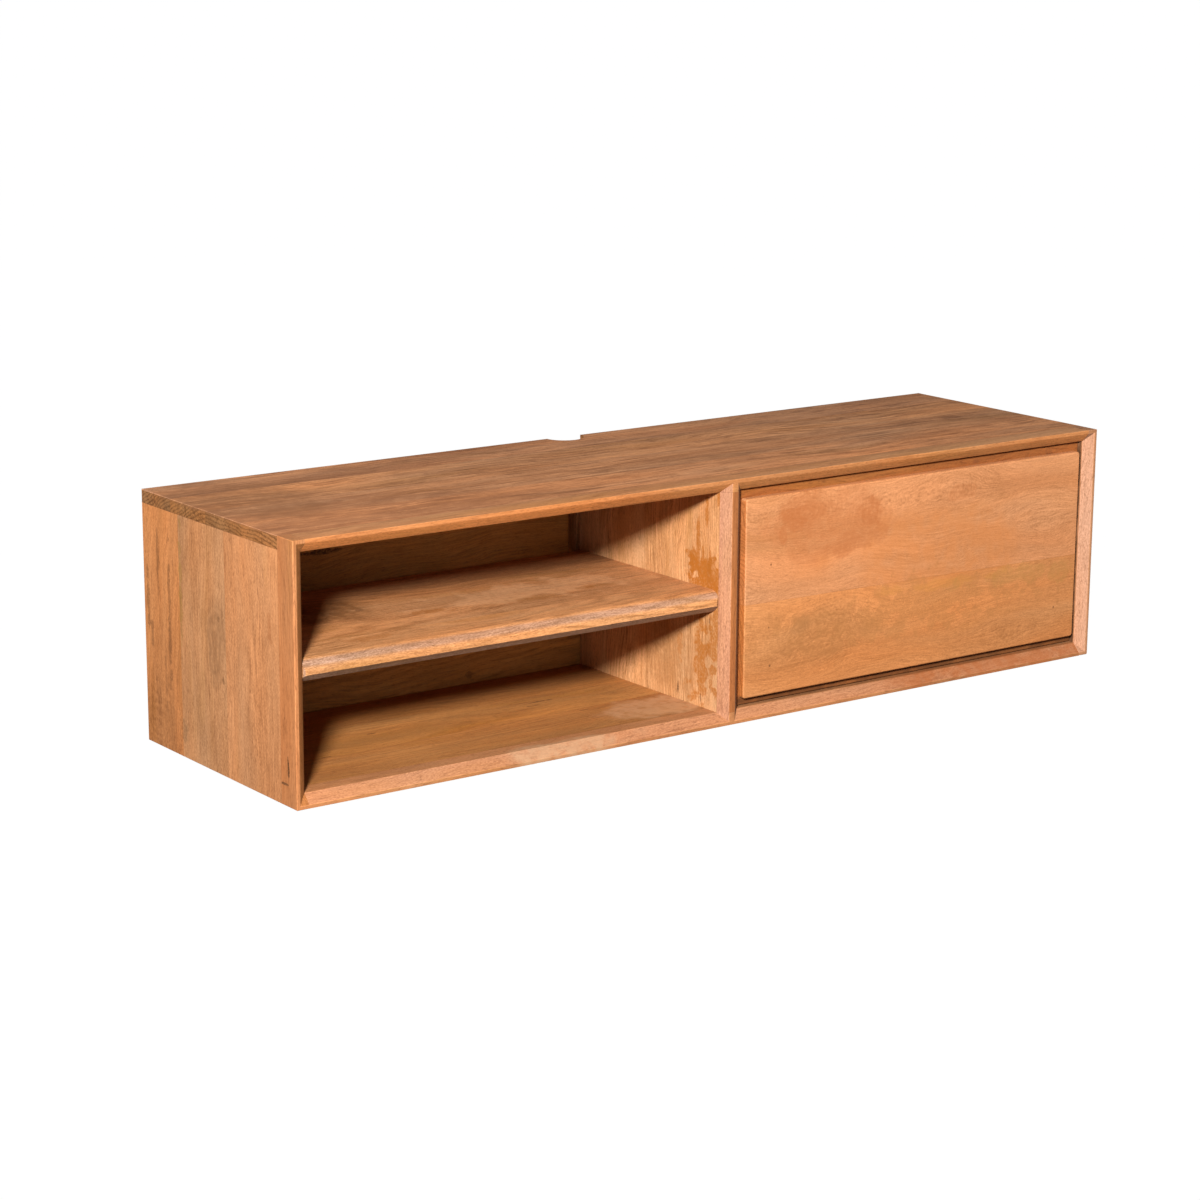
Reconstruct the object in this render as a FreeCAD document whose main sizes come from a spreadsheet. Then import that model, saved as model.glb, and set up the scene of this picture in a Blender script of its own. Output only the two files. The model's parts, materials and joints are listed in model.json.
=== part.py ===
import FreeCAD, Part
import Sketcher
import os
import re

# A floating media console in solid hardwood: a bevelled face frame, a dowelled case with an open
# bay and a drawer bay, and a bevelled hanging rail that hooks over a rail on the wall.
# Millimetres. The formulas measure x from the left outer face, y from the front plane towards the
# wall and z from the underside. Every piece is then moved so that the origin is at the bottom
# centre of the case.

# Driving sizes, one cell each.
SIZES = {
    # Case and face frame
    "overall_width": 1400,
    "overall_depth": 400,
    "overall_height": 350,
    "board": 18,
    "frame_depth": 38,
    "lip_width": 5,
    "bevel_depth": 12,
    "left_bay_width": 667,
    "centre_stile_width": 36,
    "notch_radius": 30,
    "notch_offset": 3,
    # Back panels
    "service_depth": 48,
    "back_thickness": 14,
    "tongue_setback": 4,
    "tongue_thickness": 8,
    "tongue_length": 5,
    "groove_depth": 6,
    "groove_play": 0.2,
    "panel_play": 0.5,
    "divider_rear_room": 30,
    "cutout_width": 23,
    "cutout_rise": 92,
    # Shelf
    "lower_bay_height": 144,
    "shelf_thickness": 30,
    "shelf_setback": 9,
    "shelf_end_play": 0.3,
    "shelf_nose_round": 18,
    "shelf_chamfer_run": 12,
    "shelf_chamfer_rise": 10,
    "shelf_corner_round": 6,
    # Hanging rails
    "hanging_rail_height": 60,
    "hanging_rail_gap": 110,
    "wall_rail_height": 100,
    "wall_rail_inset": 50,
    "wall_hole_inset": 41,
    "wall_hole_radius": 3.25,
    "wall_sink_radius": 6.5,
    # Drawer
    "drawer_gap": 2,
    "drawer_setback": 20,
    "panel_thickness": 12,
    "panel_side_margin": 8,
    "panel_bottom_margin": 13,
    "panel_top_margin": 14.7,
    "panel_corner_round": 5,
    "panel_edge_round": 2.5,
    "drawer_box_rise": 22,
    "drawer_box_height": 200,
    "drawer_rear_room": 38,
    "drawer_side": 15,
    "drawer_back": 12,
    "drawer_base": 6,
    "drawer_base_rise": 12,
    "drawer_base_bite": 5,
    "drawer_base_play": 0.1,
    "drawer_base_room": 1,
    # Runners
    "runner_setback": 4,
    "runner_tail": 8,
    "runner_rise": 112,
    "runner_thickness": 12.7,
    "runner_gauge": 1.2,
    "outer_half_height": 22.5,
    "outer_width": 10.5,
    "middle_half_height": 18,
    "middle_offset": 3.8,
    "middle_width": 7.2,
    "inner_half_height": 13.5,
    "inner_width": 5.9,
    "cage_gauge": 0.6,
    "cage_length": 122,
    "cage_width": 5.6,
    "outer_cage_offset": 2.6,
    "inner_cage_offset": 5.6,
    "ball_radius": 1.3,
    "ball_play": 0.1,
    "ball_offset": 3.6,
    "ball_inset": 11,
    "packer_height": 80,
    # Dowels and screws
    "dowel_radius": 4,
    "dowel_length": 30,
    "dowel_bite": 10,
    "dowel_play": 0.05,
    "dowel_end_room": 1,
    "dowel_inset": 62,
    "rail_dowel_inset": 100,
    "stile_dowel_inset": 60,
    "drawer_dowel_inset": 30,
    "screw_radius": 2,
    "screw_head_radius": 4,
    "screw_head_height": 2.5,
    "screw_play": 0.05,
    "screw_bite": 12,
    "packer_screw_drop": 32,
    "packer_screw_inset": 40,
    "hanging_grip": 30,
    "hanging_screw_inset": 42,
    "hanging_bore_radius": 5.5,
    "runner_screw_radius": 1.75,
    "runner_screw_head_radius": 3.5,
    "runner_screw_head_height": 1,
    "runner_screw_length": 12,
    "runner_screw_inset": 35,
    "front_screw_bite": 8,
    "front_screw_inset": 60,
    "front_screw_rise": 35,
}

# How many of each in a row.
CASE_DOWELS = 3
RAIL_DOWELS = 4
RAIL_SCREWS = 3
RUNNER_SCREWS = 3
FRONT_SCREWS = 3
CAGE_BALLS = 6
WALL_HOLES = 4

# How far a cutter runs past what it cuts, and how close two points are to be the same.
CUTTER_REACH = 5
HAIR = 1e-6

# Lines that several pieces share, as formulas on the sizes and on each other.
PLACES = {
    "left_bay_end": "board + left_bay_width",
    "right_bay_start": "left_bay_end + centre_stile_width",
    "right_bay_end": "overall_width - board",
    "bay_ceiling": "overall_height - board",
    "frame_middle": "(bevel_depth + frame_depth) / 2",
    "stile_middle": "left_bay_end + centre_stile_width / 2",
    "bevel_width": "board - lip_width",
    "divider_end": "left_bay_end + board",
    "divider_middle": "left_bay_end + board / 2",
    "divider_rear": "overall_depth - divider_rear_room",
    "back_rear": "overall_depth - service_depth",
    "back_front": "back_rear - back_thickness",
    "tongue_front": "back_front + tongue_setback",
    "tongue_rear": "tongue_front + tongue_thickness",
    "notch_centre": "overall_width / 2 - notch_offset",
    "shelf_underside": "board + lower_bay_height",
    "shelf_middle": "shelf_underside + shelf_thickness / 2",
    "first_dowel": "frame_depth + dowel_inset",
    "last_dowel": "back_front - dowel_bite * 2",
    "rail_face": "overall_depth - board",
    "rail_underside": "bay_ceiling - hanging_rail_height",
    "wall_rail_underside": "rail_underside - wall_rail_height",
    "subfront_rear": "drawer_setback + board",
    "drawer_bottom_edge": "board + drawer_box_rise",
    "drawer_top_edge": "drawer_bottom_edge + drawer_box_height",
    "drawer_rear": "back_front - drawer_rear_room",
    "drawer_back_face": "drawer_rear - drawer_back",
    "box_left": "right_bay_start + runner_thickness",
    "box_right": "right_bay_end - runner_thickness",
    "box_left_inside": "box_left + drawer_side",
    "box_right_inside": "box_right - drawer_side",
    "base_underside": "drawer_bottom_edge + drawer_base_rise",
    "base_top": "base_underside + drawer_base",
    "runner_height": "board + runner_rise",
    "runner_front": "frame_depth + runner_setback",
    "runner_rear": "drawer_rear - runner_tail",
    "cage_front": "(runner_front + runner_rear - cage_length) / 2",
    "cage_rear": "cage_front + cage_length",
    "outer_track": "(outer_half_height - runner_gauge + middle_half_height) / 2",
    "inner_track": "(middle_half_height - runner_gauge + inner_half_height) / 2",
}

doc = FreeCAD.newDocument("media_console")
sheet = doc.addObject("Spreadsheet::Sheet", "sizes")
for row, (alias, number) in enumerate(SIZES.items(), start=1):
    sheet.set(f"A{row}", alias)
    sheet.set(f"B{row}", str(number))
    sheet.setAlias(f"B{row}", alias)
doc.recompute()

nodes = []


# Formulas and simple solids

def formula(text):
    """A formula on named sizes and places, written out on the cells of the sheet."""
    def on_cells(match):
        word = match.group(0)
        if word in PLACES:
            return "(" + formula(PLACES[word]) + ")"
        return "sizes." + word if word in SIZES else word
    return re.sub(r"[a-z]\w*", on_cells, text)


ORIGIN = {"x": "overall_width / 2", "y": "overall_depth / 2", "z": "0"}


def move(thing, x, y, z):
    """Bind a thing's place to three formulas, measured from the case's corner."""
    for axis, text in (("x", x), ("y", y), ("z", z)):
        thing.setExpression(f"Placement.Base.{axis}", formula(f"({text}) - {ORIGIN[axis]}"))


def block(name, x, y, z):
    """A box between a low and a high formula on each axis."""
    box = doc.addObject("Part::Box", name)
    for size, (low, high) in (("Length", x), ("Width", y), ("Height", z)):
        box.setExpression(size, formula(f"({high}) - ({low})"))
    move(box, x[0], y[0], z[0])
    return box


TURNS = {
    "+x": FreeCAD.Rotation(FreeCAD.Vector(0, 1, 0), 90),
    "-x": FreeCAD.Rotation(FreeCAD.Vector(0, 1, 0), -90),
    "+y": FreeCAD.Rotation(FreeCAD.Vector(1, 0, 0), -90),
    "-y": FreeCAD.Rotation(FreeCAD.Vector(1, 0, 0), 90),
    "+z": FreeCAD.Rotation(),
    "-z": FreeCAD.Rotation(FreeCAD.Vector(1, 0, 0), 180),
}


def rod(name, way, start, length, radius):
    """A round bar from a start point along one of the axes."""
    bar = doc.addObject("Part::Cylinder", name)
    bar.Placement = FreeCAD.Placement(FreeCAD.Vector(), TURNS[way])
    bar.setExpression("Radius", formula(radius))
    bar.setExpression("Height", formula(length))
    move(bar, *start)
    return bar


def further(start, way, distance):
    """The point that lies a distance from a start point along one of the axes."""
    sign, axis = way
    return tuple(f"{text} {sign} ({distance})" if name == axis else text
                 for name, text in zip("xyz", start))


def compound(name, members):
    group = doc.addObject("Part::Compound", name)
    group.Links = members
    return group


def joined(name, members):
    whole = doc.addObject("Part::MultiFuse", name)
    whole.Shapes = members
    return whole


def cut(name, base, tools):
    """A blank less its cutters, which don't cross each other."""
    rest = doc.addObject("Part::Cut", name)
    rest.Base = base
    rest.Tool = compound(name + "_cutters", tools)
    return rest


def keep(node, thing):
    """Name a finished piece after its node."""
    thing.Label = node
    nodes.append(thing)
    return thing


def spread(first, last, count):
    """Evenly spaced formulas from the first to the last."""
    return [f"({first}) + (({last}) - ({first})) * {step} / {count - 1}" for step in range(count)]


# Dowels and screws

def dowels(pins, joint, way, starts):
    """Dowels of one joint go into a list of pins. Gives back the holes that they sit in."""
    holes = []
    for number, start in enumerate(starts, start=1):
        pins.append(rod(f"{joint}_dowel_{number}", way, start, "dowel_length", "dowel_radius"))
        holes.append(rod(f"{joint}_hole_{number}", way, further(start, way, "-dowel_end_room"),
                         "dowel_length + 2 * dowel_end_room", "dowel_radius + dowel_play"))
    return holes


def screw(screws, name, way, seat, length, kind="screw"):
    """A pan-head screw goes into a list, its head's underside at the seat. Gives back its hole."""
    head = rod(name + "_head", way, further(seat, way, f"-{kind}_head_height"),
               f"{kind}_head_height", f"{kind}_head_radius")
    shank = rod(name + "_shank", way, seat, length, f"{kind}_radius")
    screws.append(joined(name, [head, shank]))
    return rod(name + "_hole", way, further(seat, way, f"-{kind}_head_height"),
               f"{length} + {kind}_head_height + screw_play", f"{kind}_radius + screw_play")


# Sketched pieces

def origin_plane(body, role):
    return next(plane for plane in body.Origin.OriginFeatures if plane.Role == role)


def outline(body, plane, name, corners):
    """A closed sketch with straight sides between corners, each given by two formulas."""
    sketch = body.newObject("Sketcher::SketchObject", name)
    sketch.AttachmentSupport = [(origin_plane(body, plane), "")]
    sketch.MapMode = "FlatFace"
    count = len(corners)
    for side in range(count):
        start = FreeCAD.Vector(side, side * side, 0)
        end = FreeCAD.Vector(side + 1, (side + 1) * (side + 1), 0)
        sketch.addGeometry(Part.LineSegment(start, end), False)
    for side in range(count):
        sketch.addConstraint(Sketcher.Constraint("Coincident", side, 2, (side + 1) % count, 1))
    for side, (across, along) in enumerate(corners):
        for kind, text in (("DistanceX", across), ("DistanceY", along)):
            index = sketch.addConstraint(Sketcher.Constraint(kind, -1, 1, side, 1, 1.0))
            sketch.renameConstraint(index, f"corner_{side}_{kind}")
            sketch.setExpression(f"Constraints.corner_{side}_{kind}", formula(text))
    return sketch


def circle(body, plane, name, centre, radius):
    sketch = body.newObject("Sketcher::SketchObject", name)
    sketch.AttachmentSupport = [(origin_plane(body, plane), "")]
    sketch.MapMode = "FlatFace"
    sketch.addGeometry(Part.Circle(FreeCAD.Vector(1, 1, 0), FreeCAD.Vector(0, 0, 1), 1), False)
    bindings = (
        ("across", Sketcher.Constraint("DistanceX", -1, 1, 0, 3, 1.0), centre[0]),
        ("along", Sketcher.Constraint("DistanceY", -1, 1, 0, 3, 1.0), centre[1]),
        ("radius", Sketcher.Constraint("Radius", 0, 1.0), radius),
    )
    for label, constraint, text in bindings:
        index = sketch.addConstraint(constraint)
        sketch.renameConstraint(index, label)
        sketch.setExpression(f"Constraints.{label}", formula(text))
    return sketch


def pad(body, sketch, length, reverse=False):
    feature = body.newObject("PartDesign::Pad", sketch.Name + "_pad")
    feature.Profile = sketch
    feature.Reversed = reverse
    feature.setExpression("Length", formula(length))
    return feature


def edges_at(feature, test, along=None):
    """Names of a feature's edges whose two ends both pass a test, of all or of those along an axis."""
    doc.recompute()
    names = []
    for number, edge in enumerate(feature.Shape.Edges, start=1):
        start, end = edge.Vertexes[0].Point, edge.Vertexes[-1].Point
        across = [axis for axis in "xyz" if abs(getattr(end - start, axis)) > HAIR]
        if test(start) and test(end) and along in (None, "".join(across)):
            names.append(f"Edge{number}")
    return names


def rounded(body, name, base, edges, radius):
    feature = body.newObject("PartDesign::Fillet", name)
    feature.Base = (base, edges)
    feature.setExpression("Radius", formula(radius))
    return feature


def rectangle(width, height):
    return [("0", "0"), (width, "0"), (width, height), ("0", height)]


def new_body(name, x, y, z):
    body = doc.addObject("PartDesign::Body", name)
    move(body, x, y, z)
    return body


# Face frame and case: where the dowels go

frame_pins = []
case_pins = []
shelf_pins = []
drawer_pins = []

CASE_ROW = spread("first_dowel", "last_dowel", CASE_DOWELS)
STILE_ROW = spread("stile_dowel_inset", "overall_height - stile_dowel_inset", CASE_DOWELS)
DIVIDER_ROW = spread("stile_dowel_inset", "overall_height - stile_dowel_inset", 2)
RAIL_ROW = spread("rail_dowel_inset", "overall_width - rail_dowel_inset", RAIL_DOWELS)
LOW = "board / 2"
HIGH = "overall_height - board / 2"

# A dowel that goes from a side board into what stands against its inner face.
FROM_LEFT = ("+x", "board - dowel_bite")
FROM_RIGHT = ("-x", "right_bay_end + dowel_bite")
# A dowel that goes from the face frame back into the case.
FROM_FRAME = "frame_depth - dowel_length / 2"
# A dowel that goes from the top or the bottom into what stands between them.
FROM_TOP = ("-z", "bay_ceiling + dowel_bite")
FROM_BOTTOM = ("+z", "board - dowel_bite")

joint_holes = {}
for side, (way, start) in (("left", FROM_LEFT), ("right", FROM_RIGHT)):
    for rail, height in (("bottom", LOW), ("top", HIGH)):
        joint = f"{side}_stile_{rail}_rail"
        joint_holes[joint] = dowels(frame_pins, joint, way, [(start, "frame_middle", height)])
for rail, (way, start), height in (("bottom", FROM_BOTTOM, LOW), ("top", FROM_TOP, HIGH)):
    joint = f"centre_stile_{rail}_rail"
    joint_holes[joint] = dowels(frame_pins, joint, way, [("stile_middle", "frame_middle", start)])
    joint = f"{rail}_rail_panel"
    joint_holes[joint] = dowels(frame_pins, joint, "+y", [(x, FROM_FRAME, height) for x in RAIL_ROW])
for side, middle in (("left", LOW), ("right", "overall_width - board / 2")):
    joint = f"{side}_stile_side"
    joint_holes[joint] = dowels(frame_pins, joint, "+y", [(middle, FROM_FRAME, z) for z in STILE_ROW])
joint_holes["centre_stile_divider"] = dowels(
    frame_pins, "centre_stile_divider", "+y", [("divider_middle", FROM_FRAME, z) for z in DIVIDER_ROW])

for side, (way, start), middle in (("left", FROM_LEFT, LOW),
                                   ("right", FROM_RIGHT, "overall_width - board / 2")):
    joint = f"{side}_side_bottom"
    joint_holes[joint] = dowels(case_pins, joint, way, [(start, y, LOW) for y in CASE_ROW])
    joint = f"{side}_side_top"
    joint_holes[joint] = dowels(case_pins, joint, FROM_TOP[0], [(middle, y, FROM_TOP[1]) for y in CASE_ROW])
for end, (way, start) in (("bottom", FROM_BOTTOM), ("top", FROM_TOP)):
    joint = f"divider_{end}"
    joint_holes[joint] = dowels(case_pins, joint, way, [("divider_middle", y, start) for y in CASE_ROW])

SHELF_ENDS = (("left", FROM_LEFT), ("right", ("-x", "left_bay_end + dowel_bite")))
for side, (way, start) in SHELF_ENDS:
    joint = f"shelf_{side}"
    joint_holes[joint] = dowels(shelf_pins, joint, way, [(start, y, "shelf_middle") for y in CASE_ROW])


def holes_of(*joints):
    return [hole for joint in joints for hole in joint_holes[joint]]


# Face frame: two stiles the full height, two rails between them and a wide stile in the middle.
# Each opening narrows by a bevel from a flat lip to the full thickness of the boards.

def opening_bevel(name, start, end):
    """A cutter that widens an opening of the face frame towards the front."""
    wedge = doc.addObject("Part::Wedge", name)
    sides = {
        "Xmin": f"{start} - bevel_width",
        "Xmax": f"{end} + bevel_width",
        "X2min": start,
        "X2max": end,
        "Ymin": "0",
        "Ymax": "bevel_depth",
        "Zmin": "board - bevel_width",
        "Zmax": "bay_ceiling + bevel_width",
        "Z2min": "board",
        "Z2max": "bay_ceiling",
    }
    for side, text in sides.items():
        wedge.setExpression(side, formula(text))
    move(wedge, "0", "0", "0")
    return wedge


left_bevel = opening_bevel("left_opening_bevel", "board", "left_bay_end")
right_bevel = opening_bevel("right_opening_bevel", "right_bay_start", "right_bay_end")


def frame_bar(node, x, z, cutters):
    blank = block(node + "_blank", x, ("0", "frame_depth"), z)
    return keep(node, cut(node, blank, cutters))


frame_bar("left_stile", ("0", "board"), ("0", "overall_height"),
          [left_bevel] + holes_of("left_stile_bottom_rail", "left_stile_top_rail", "left_stile_side"))
frame_bar("right_stile", ("right_bay_end", "overall_width"), ("0", "overall_height"),
          [right_bevel] + holes_of("right_stile_bottom_rail", "right_stile_top_rail", "right_stile_side"))
frame_bar("centre_stile", ("left_bay_end", "right_bay_start"), ("board", "bay_ceiling"),
          [left_bevel, right_bevel] + holes_of("centre_stile_bottom_rail", "centre_stile_top_rail",
                                               "centre_stile_divider"))
for rail, z in (("bottom", ("0", "board")), ("top", ("bay_ceiling", "overall_height"))):
    frame_bar(f"{rail}_rail", ("board", "right_bay_end"), z,
              [left_bevel, right_bevel] + holes_of(f"left_stile_{rail}_rail", f"right_stile_{rail}_rail",
                                                   f"centre_stile_{rail}_rail", f"{rail}_rail_panel"))


# Back panels: boards with a tongue all round, in grooves of the boards about them.

def back_grooves(name, start, end):
    """The grooves round one bay, as one slab that reaches into all its boards."""
    return block(name, (f"{start} - groove_depth", f"{end} + groove_depth"),
                 ("tongue_front - groove_play", "tongue_rear + groove_play"),
                 ("board - groove_depth", "bay_ceiling + groove_depth"))


def back_board(name, start, end):
    field = block(name + "_field", (f"{start} + panel_play", f"{end} - panel_play"),
                  ("back_front", "back_rear"), ("board + panel_play", "bay_ceiling - panel_play"))
    tongue = block(name + "_tongue", (f"{start} - tongue_length", f"{end} + tongue_length"),
                   ("tongue_front", "tongue_rear"),
                   ("board - tongue_length", "bay_ceiling + tongue_length"))
    return joined(name + "_board", [field, tongue])


left_grooves = back_grooves("left_bay_grooves", "board", "left_bay_end")
right_grooves = back_grooves("right_bay_grooves", "divider_end", "right_bay_end")

# The left one stops short of the divider above the cut-out's lower edge, for cables.
cable_cutout = block("cable_cutout",
                     ("left_bay_end - cutout_width", f"left_bay_end + groove_depth + {CUTTER_REACH}"),
                     (f"back_front - {CUTTER_REACH}", f"back_rear + {CUTTER_REACH}"),
                     ("board + cutout_rise", f"bay_ceiling + groove_depth + {CUTTER_REACH}"))
left_back = back_board("left_back", "board", "left_bay_end")
keep("back_panel_left", cut("back_panel_left", left_back, [cable_cutout]))
keep("back_panel_right", back_board("right_back", "divider_end", "right_bay_end"))


# Hanging: two rails screwed up into the top, bevelled at 45 degrees to hook over the wall rail.

def bevelled_rail(node, start, length, corners):
    body = new_body(node + "_body", start, "0", "0")
    pad(body, outline(body, "YZ_Plane", node + "_section", corners), length)
    return body


HOOKED = [("rail_face", "rail_underside + board"), ("overall_depth", "rail_underside"),
          ("overall_depth", "bay_ceiling"), ("rail_face", "bay_ceiling")]
hanging_screws = []
hanging_holes = {}
for side, (start, end) in (("left", ("board", "notch_centre - hanging_rail_gap / 2")),
                           ("right", ("notch_centre + hanging_rail_gap / 2", "right_bay_end"))):
    rail = bevelled_rail(f"hanging_rail_{side}", start, f"({end}) - ({start})", HOOKED)
    bores = []
    holes = []
    row = spread(f"{start} + hanging_screw_inset", f"{end} - hanging_screw_inset", RAIL_SCREWS)
    for number, x in enumerate(row, start=1):
        name = f"hanging_{side}_{number}"
        seat = (x, "overall_depth - board / 2", "bay_ceiling - hanging_grip")
        holes.append(screw(hanging_screws, name, "+z", seat, "hanging_grip + screw_bite"))
        bores.append(rod(name + "_bore", "-z", seat, "hanging_rail_height", "hanging_bore_radius"))
    hanging_holes[side] = holes
    drilled = joined(f"hanging_{side}_drilling", holes + bores)
    keep(f"hanging_rail_{side}", cut(f"hanging_rail_{side}", rail, [drilled]))

LOWER = [("rail_face", "wall_rail_underside"), ("overall_depth", "wall_rail_underside"),
         ("overall_depth", "rail_underside"), ("rail_face", "rail_underside + board")]
wall_rail = bevelled_rail("wall_rail", "wall_rail_inset", "overall_width - 2 * wall_rail_inset", LOWER)
wall_holes = []
wall_row = spread("wall_rail_inset + wall_hole_inset",
                  "overall_width - wall_rail_inset - wall_hole_inset", WALL_HOLES)
for number, x in enumerate(wall_row, start=1):
    name = f"wall_hole_{number}"
    place = (x, "rail_face", "wall_rail_underside + wall_rail_height / 2")
    sink = doc.addObject("Part::Cone", name + "_sink")
    sink.Placement = FreeCAD.Placement(FreeCAD.Vector(), TURNS["+y"])
    sink.setExpression("Radius1", formula("wall_sink_radius"))
    sink.setExpression("Radius2", formula("wall_hole_radius"))
    sink.setExpression("Height", formula("wall_sink_radius - wall_hole_radius"))
    move(sink, *place)
    wall_holes.append(joined(name, [sink, rod(name + "_bore", "+y", place, "board", "wall_hole_radius")]))
keep("wall_rail", cut("wall_rail", wall_rail, wall_holes))


# Drawer runners: three steel channels inside each other, on balls held by two cages.
# All distances across are measured from the face that the outer channel is screwed to.

runner_case_screws = []
runner_drawer_screws = []
case_screw_holes = {}
drawer_screw_holes = {}


def across(mount, sign, near, far):
    """A low and a high formula for a span that is measured inwards from a mounting face."""
    ends = [f"{mount} {sign} ({near})", f"{mount} {sign} ({far})"]
    return tuple(ends if sign == "+" else reversed(ends))


def channel(name, mount, sign, near, far, hollow, half_height, gauge, y):
    """A folded channel, hollow from one distance to another."""
    blank = block(name + "_blank", across(mount, sign, near, far), y,
                  (f"runner_height - ({half_height})", f"runner_height + ({half_height})"))
    half_hollow = f"({half_height} - {gauge})"
    inside = block(name + "_hollow", across(mount, sign, *hollow),
                   (f"{y[0]} - {CUTTER_REACH}", f"{y[1]} + {CUTTER_REACH}"),
                   (f"runner_height - {half_hollow}", f"runner_height + {half_hollow}"))
    folded = doc.addObject("Part::Cut", name + "_folded")
    folded.Base = blank
    folded.Tool = inside
    return folded


def cage_and_balls(side, mount, sign, which):
    """A cage with a row of balls along its top and one along its bottom."""
    offset = f"{which}_cage_offset"
    track = f"{which}_track"
    name = f"{side}_{which}_cage"
    reach = f"{offset} + cage_width"
    folded = channel(name, mount, sign, offset, reach,
                     (f"{offset} + cage_gauge", f"{reach} + {CUTTER_REACH}"),
                     f"{track} + cage_gauge / 2", "cage_gauge", ("cage_front", "cage_rear"))
    x = f"{mount} {sign} ({offset} + ball_offset)"
    balls = []
    pockets = []
    for number, y in enumerate(spread("cage_front + ball_inset", "cage_rear - ball_inset", CAGE_BALLS)):
        pockets.append(rod(f"{name}_pocket_{number}", "+z", (x, y, f"runner_height - {track} - cage_gauge"),
                           f"2 * ({track} + cage_gauge)", "ball_radius + ball_play"))
        for row in "+-":
            ball = doc.addObject("Part::Sphere", f"{name}_ball")
            ball.setExpression("Radius", formula("ball_radius"))
            move(ball, x, y, f"runner_height {row} {track}")
            balls.append(ball)
    keep(f"{side}_runner_{which}_cage", cut(name, folded, pockets))
    keep(f"{side}_runner_{which}_balls", compound(f"{side}_{which}_balls", balls))


for side, mount, sign, outward in (("left", "right_bay_start", "+", "-x"),
                                   ("right", "right_bay_end", "-", "+x")):
    inward = sign + "x"
    length = ("runner_front", "runner_rear")
    outer = channel(f"{side}_outer", mount, sign, "0", "outer_width",
                    ("runner_gauge", f"outer_width + {CUTTER_REACH}"),
                    "outer_half_height", "runner_gauge", length)
    middle_far = "middle_offset + middle_width"
    middle = channel(f"{side}_middle", mount, sign, "middle_offset", middle_far,
                     ("middle_offset + runner_gauge", f"{middle_far} + {CUTTER_REACH}"),
                     "middle_half_height", "runner_gauge", length)
    inner_near = "runner_thickness - inner_width"
    inner = channel(f"{side}_inner", mount, sign, inner_near, "runner_thickness",
                    (f"{inner_near} - {CUTTER_REACH}", "runner_thickness - runner_gauge"),
                    "inner_half_height", "runner_gauge", length)
    case_holes = []
    drawer_holes = []
    row = spread("runner_front + runner_screw_inset", "runner_rear - runner_screw_inset", RUNNER_SCREWS)
    for number, y in enumerate(row, start=1):
        seat = (f"{mount} {sign} runner_gauge", y, "runner_height")
        case_holes.append(screw(runner_case_screws, f"{side}_case_screw_{number}", outward, seat,
                                "runner_screw_length", "runner_screw"))
        seat = (f"{mount} {sign} (runner_thickness - runner_gauge)", y, "runner_height")
        drawer_holes.append(screw(runner_drawer_screws, f"{side}_drawer_screw_{number}", inward, seat,
                                  "runner_screw_length", "runner_screw"))
    case_screw_holes[side] = case_holes
    drawer_screw_holes[side] = drawer_holes
    keep(f"{side}_runner_outer", cut(f"{side}_runner_outer", outer, case_holes))
    keep(f"{side}_runner_middle", middle)
    keep(f"{side}_runner_inner", cut(f"{side}_runner_inner", inner, drawer_holes))
    cage_and_balls(side, mount, sign, "outer")
    cage_and_balls(side, mount, sign, "inner")


# Runner packer: a batten on the divider, flush with the centre stile.

packer_screws = []
packer_holes = []
PACKER_ROW = spread("frame_depth + packer_screw_inset", "drawer_rear - packer_screw_inset", 2)
for z_name, sign in (("low", "-"), ("high", "+")):
    for number, y in enumerate(PACKER_ROW, start=1):
        seat = ("right_bay_start", y, f"runner_height {sign} packer_screw_drop")
        length = "right_bay_start - divider_end + screw_bite"
        packer_holes.append(screw(packer_screws, f"packer_{z_name}_{number}", "-x", seat, length))
packer_blank = block("packer_blank", ("divider_end", "right_bay_start"), ("frame_depth", "drawer_rear"),
                     ("runner_height - packer_height / 2", "runner_height + packer_height / 2"))
keep("runner_packer", cut("runner_packer", packer_blank, packer_holes + case_screw_holes["left"]))


# Case boards behind the face frame. The top lies on the sides and the divider.

def case_board(node, x, y, z, cutters):
    return keep(node, cut(node, block(node + "_blank", x, y, z), cutters))


case_board("left_side_panel", ("0", "board"), ("frame_depth", "overall_depth"), ("0", "bay_ceiling"),
           [left_grooves] + holes_of("left_stile_side", "left_side_bottom", "left_side_top", "shelf_left"))
case_board("right_side_panel", ("right_bay_end", "overall_width"), ("frame_depth", "overall_depth"),
           ("0", "bay_ceiling"), [right_grooves] + case_screw_holes["right"]
           + holes_of("right_stile_side", "right_side_bottom", "right_side_top"))
case_board("bottom_panel", ("board", "right_bay_end"), ("frame_depth", "overall_depth"), ("0", "board"),
           [left_grooves, right_grooves]
           + holes_of("left_side_bottom", "right_side_bottom", "divider_bottom", "bottom_rail_panel"))
case_board("centre_divider", ("left_bay_end", "divider_end"), ("frame_depth", "divider_rear"),
           ("board", "bay_ceiling"),
           [left_grooves, right_grooves] + packer_holes + case_screw_holes["left"]
           + holes_of("centre_stile_divider", "divider_bottom", "divider_top", "shelf_right"))

top = new_body("top_panel_body", "0", "frame_depth", "bay_ceiling")
top_plan = outline(top, "XY_Plane", "top_plan", rectangle("overall_width", "overall_depth - frame_depth"))
pad(top, top_plan, "board")
doc.recompute()
notch = top.newObject("PartDesign::Pocket", "cable_notch")
notch.Profile = circle(top, "XY_Plane", "notch_circle", ("notch_centre", "overall_depth - frame_depth"),
                       "notch_radius")
notch.Type = "ThroughAll"
notch.Reversed = True
keep("top_panel", cut("top_panel", top, [left_grooves, right_grooves] + hanging_holes["left"]
                      + hanging_holes["right"]
                      + holes_of("left_side_top", "right_side_top", "divider_top", "top_rail_panel")))


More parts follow.
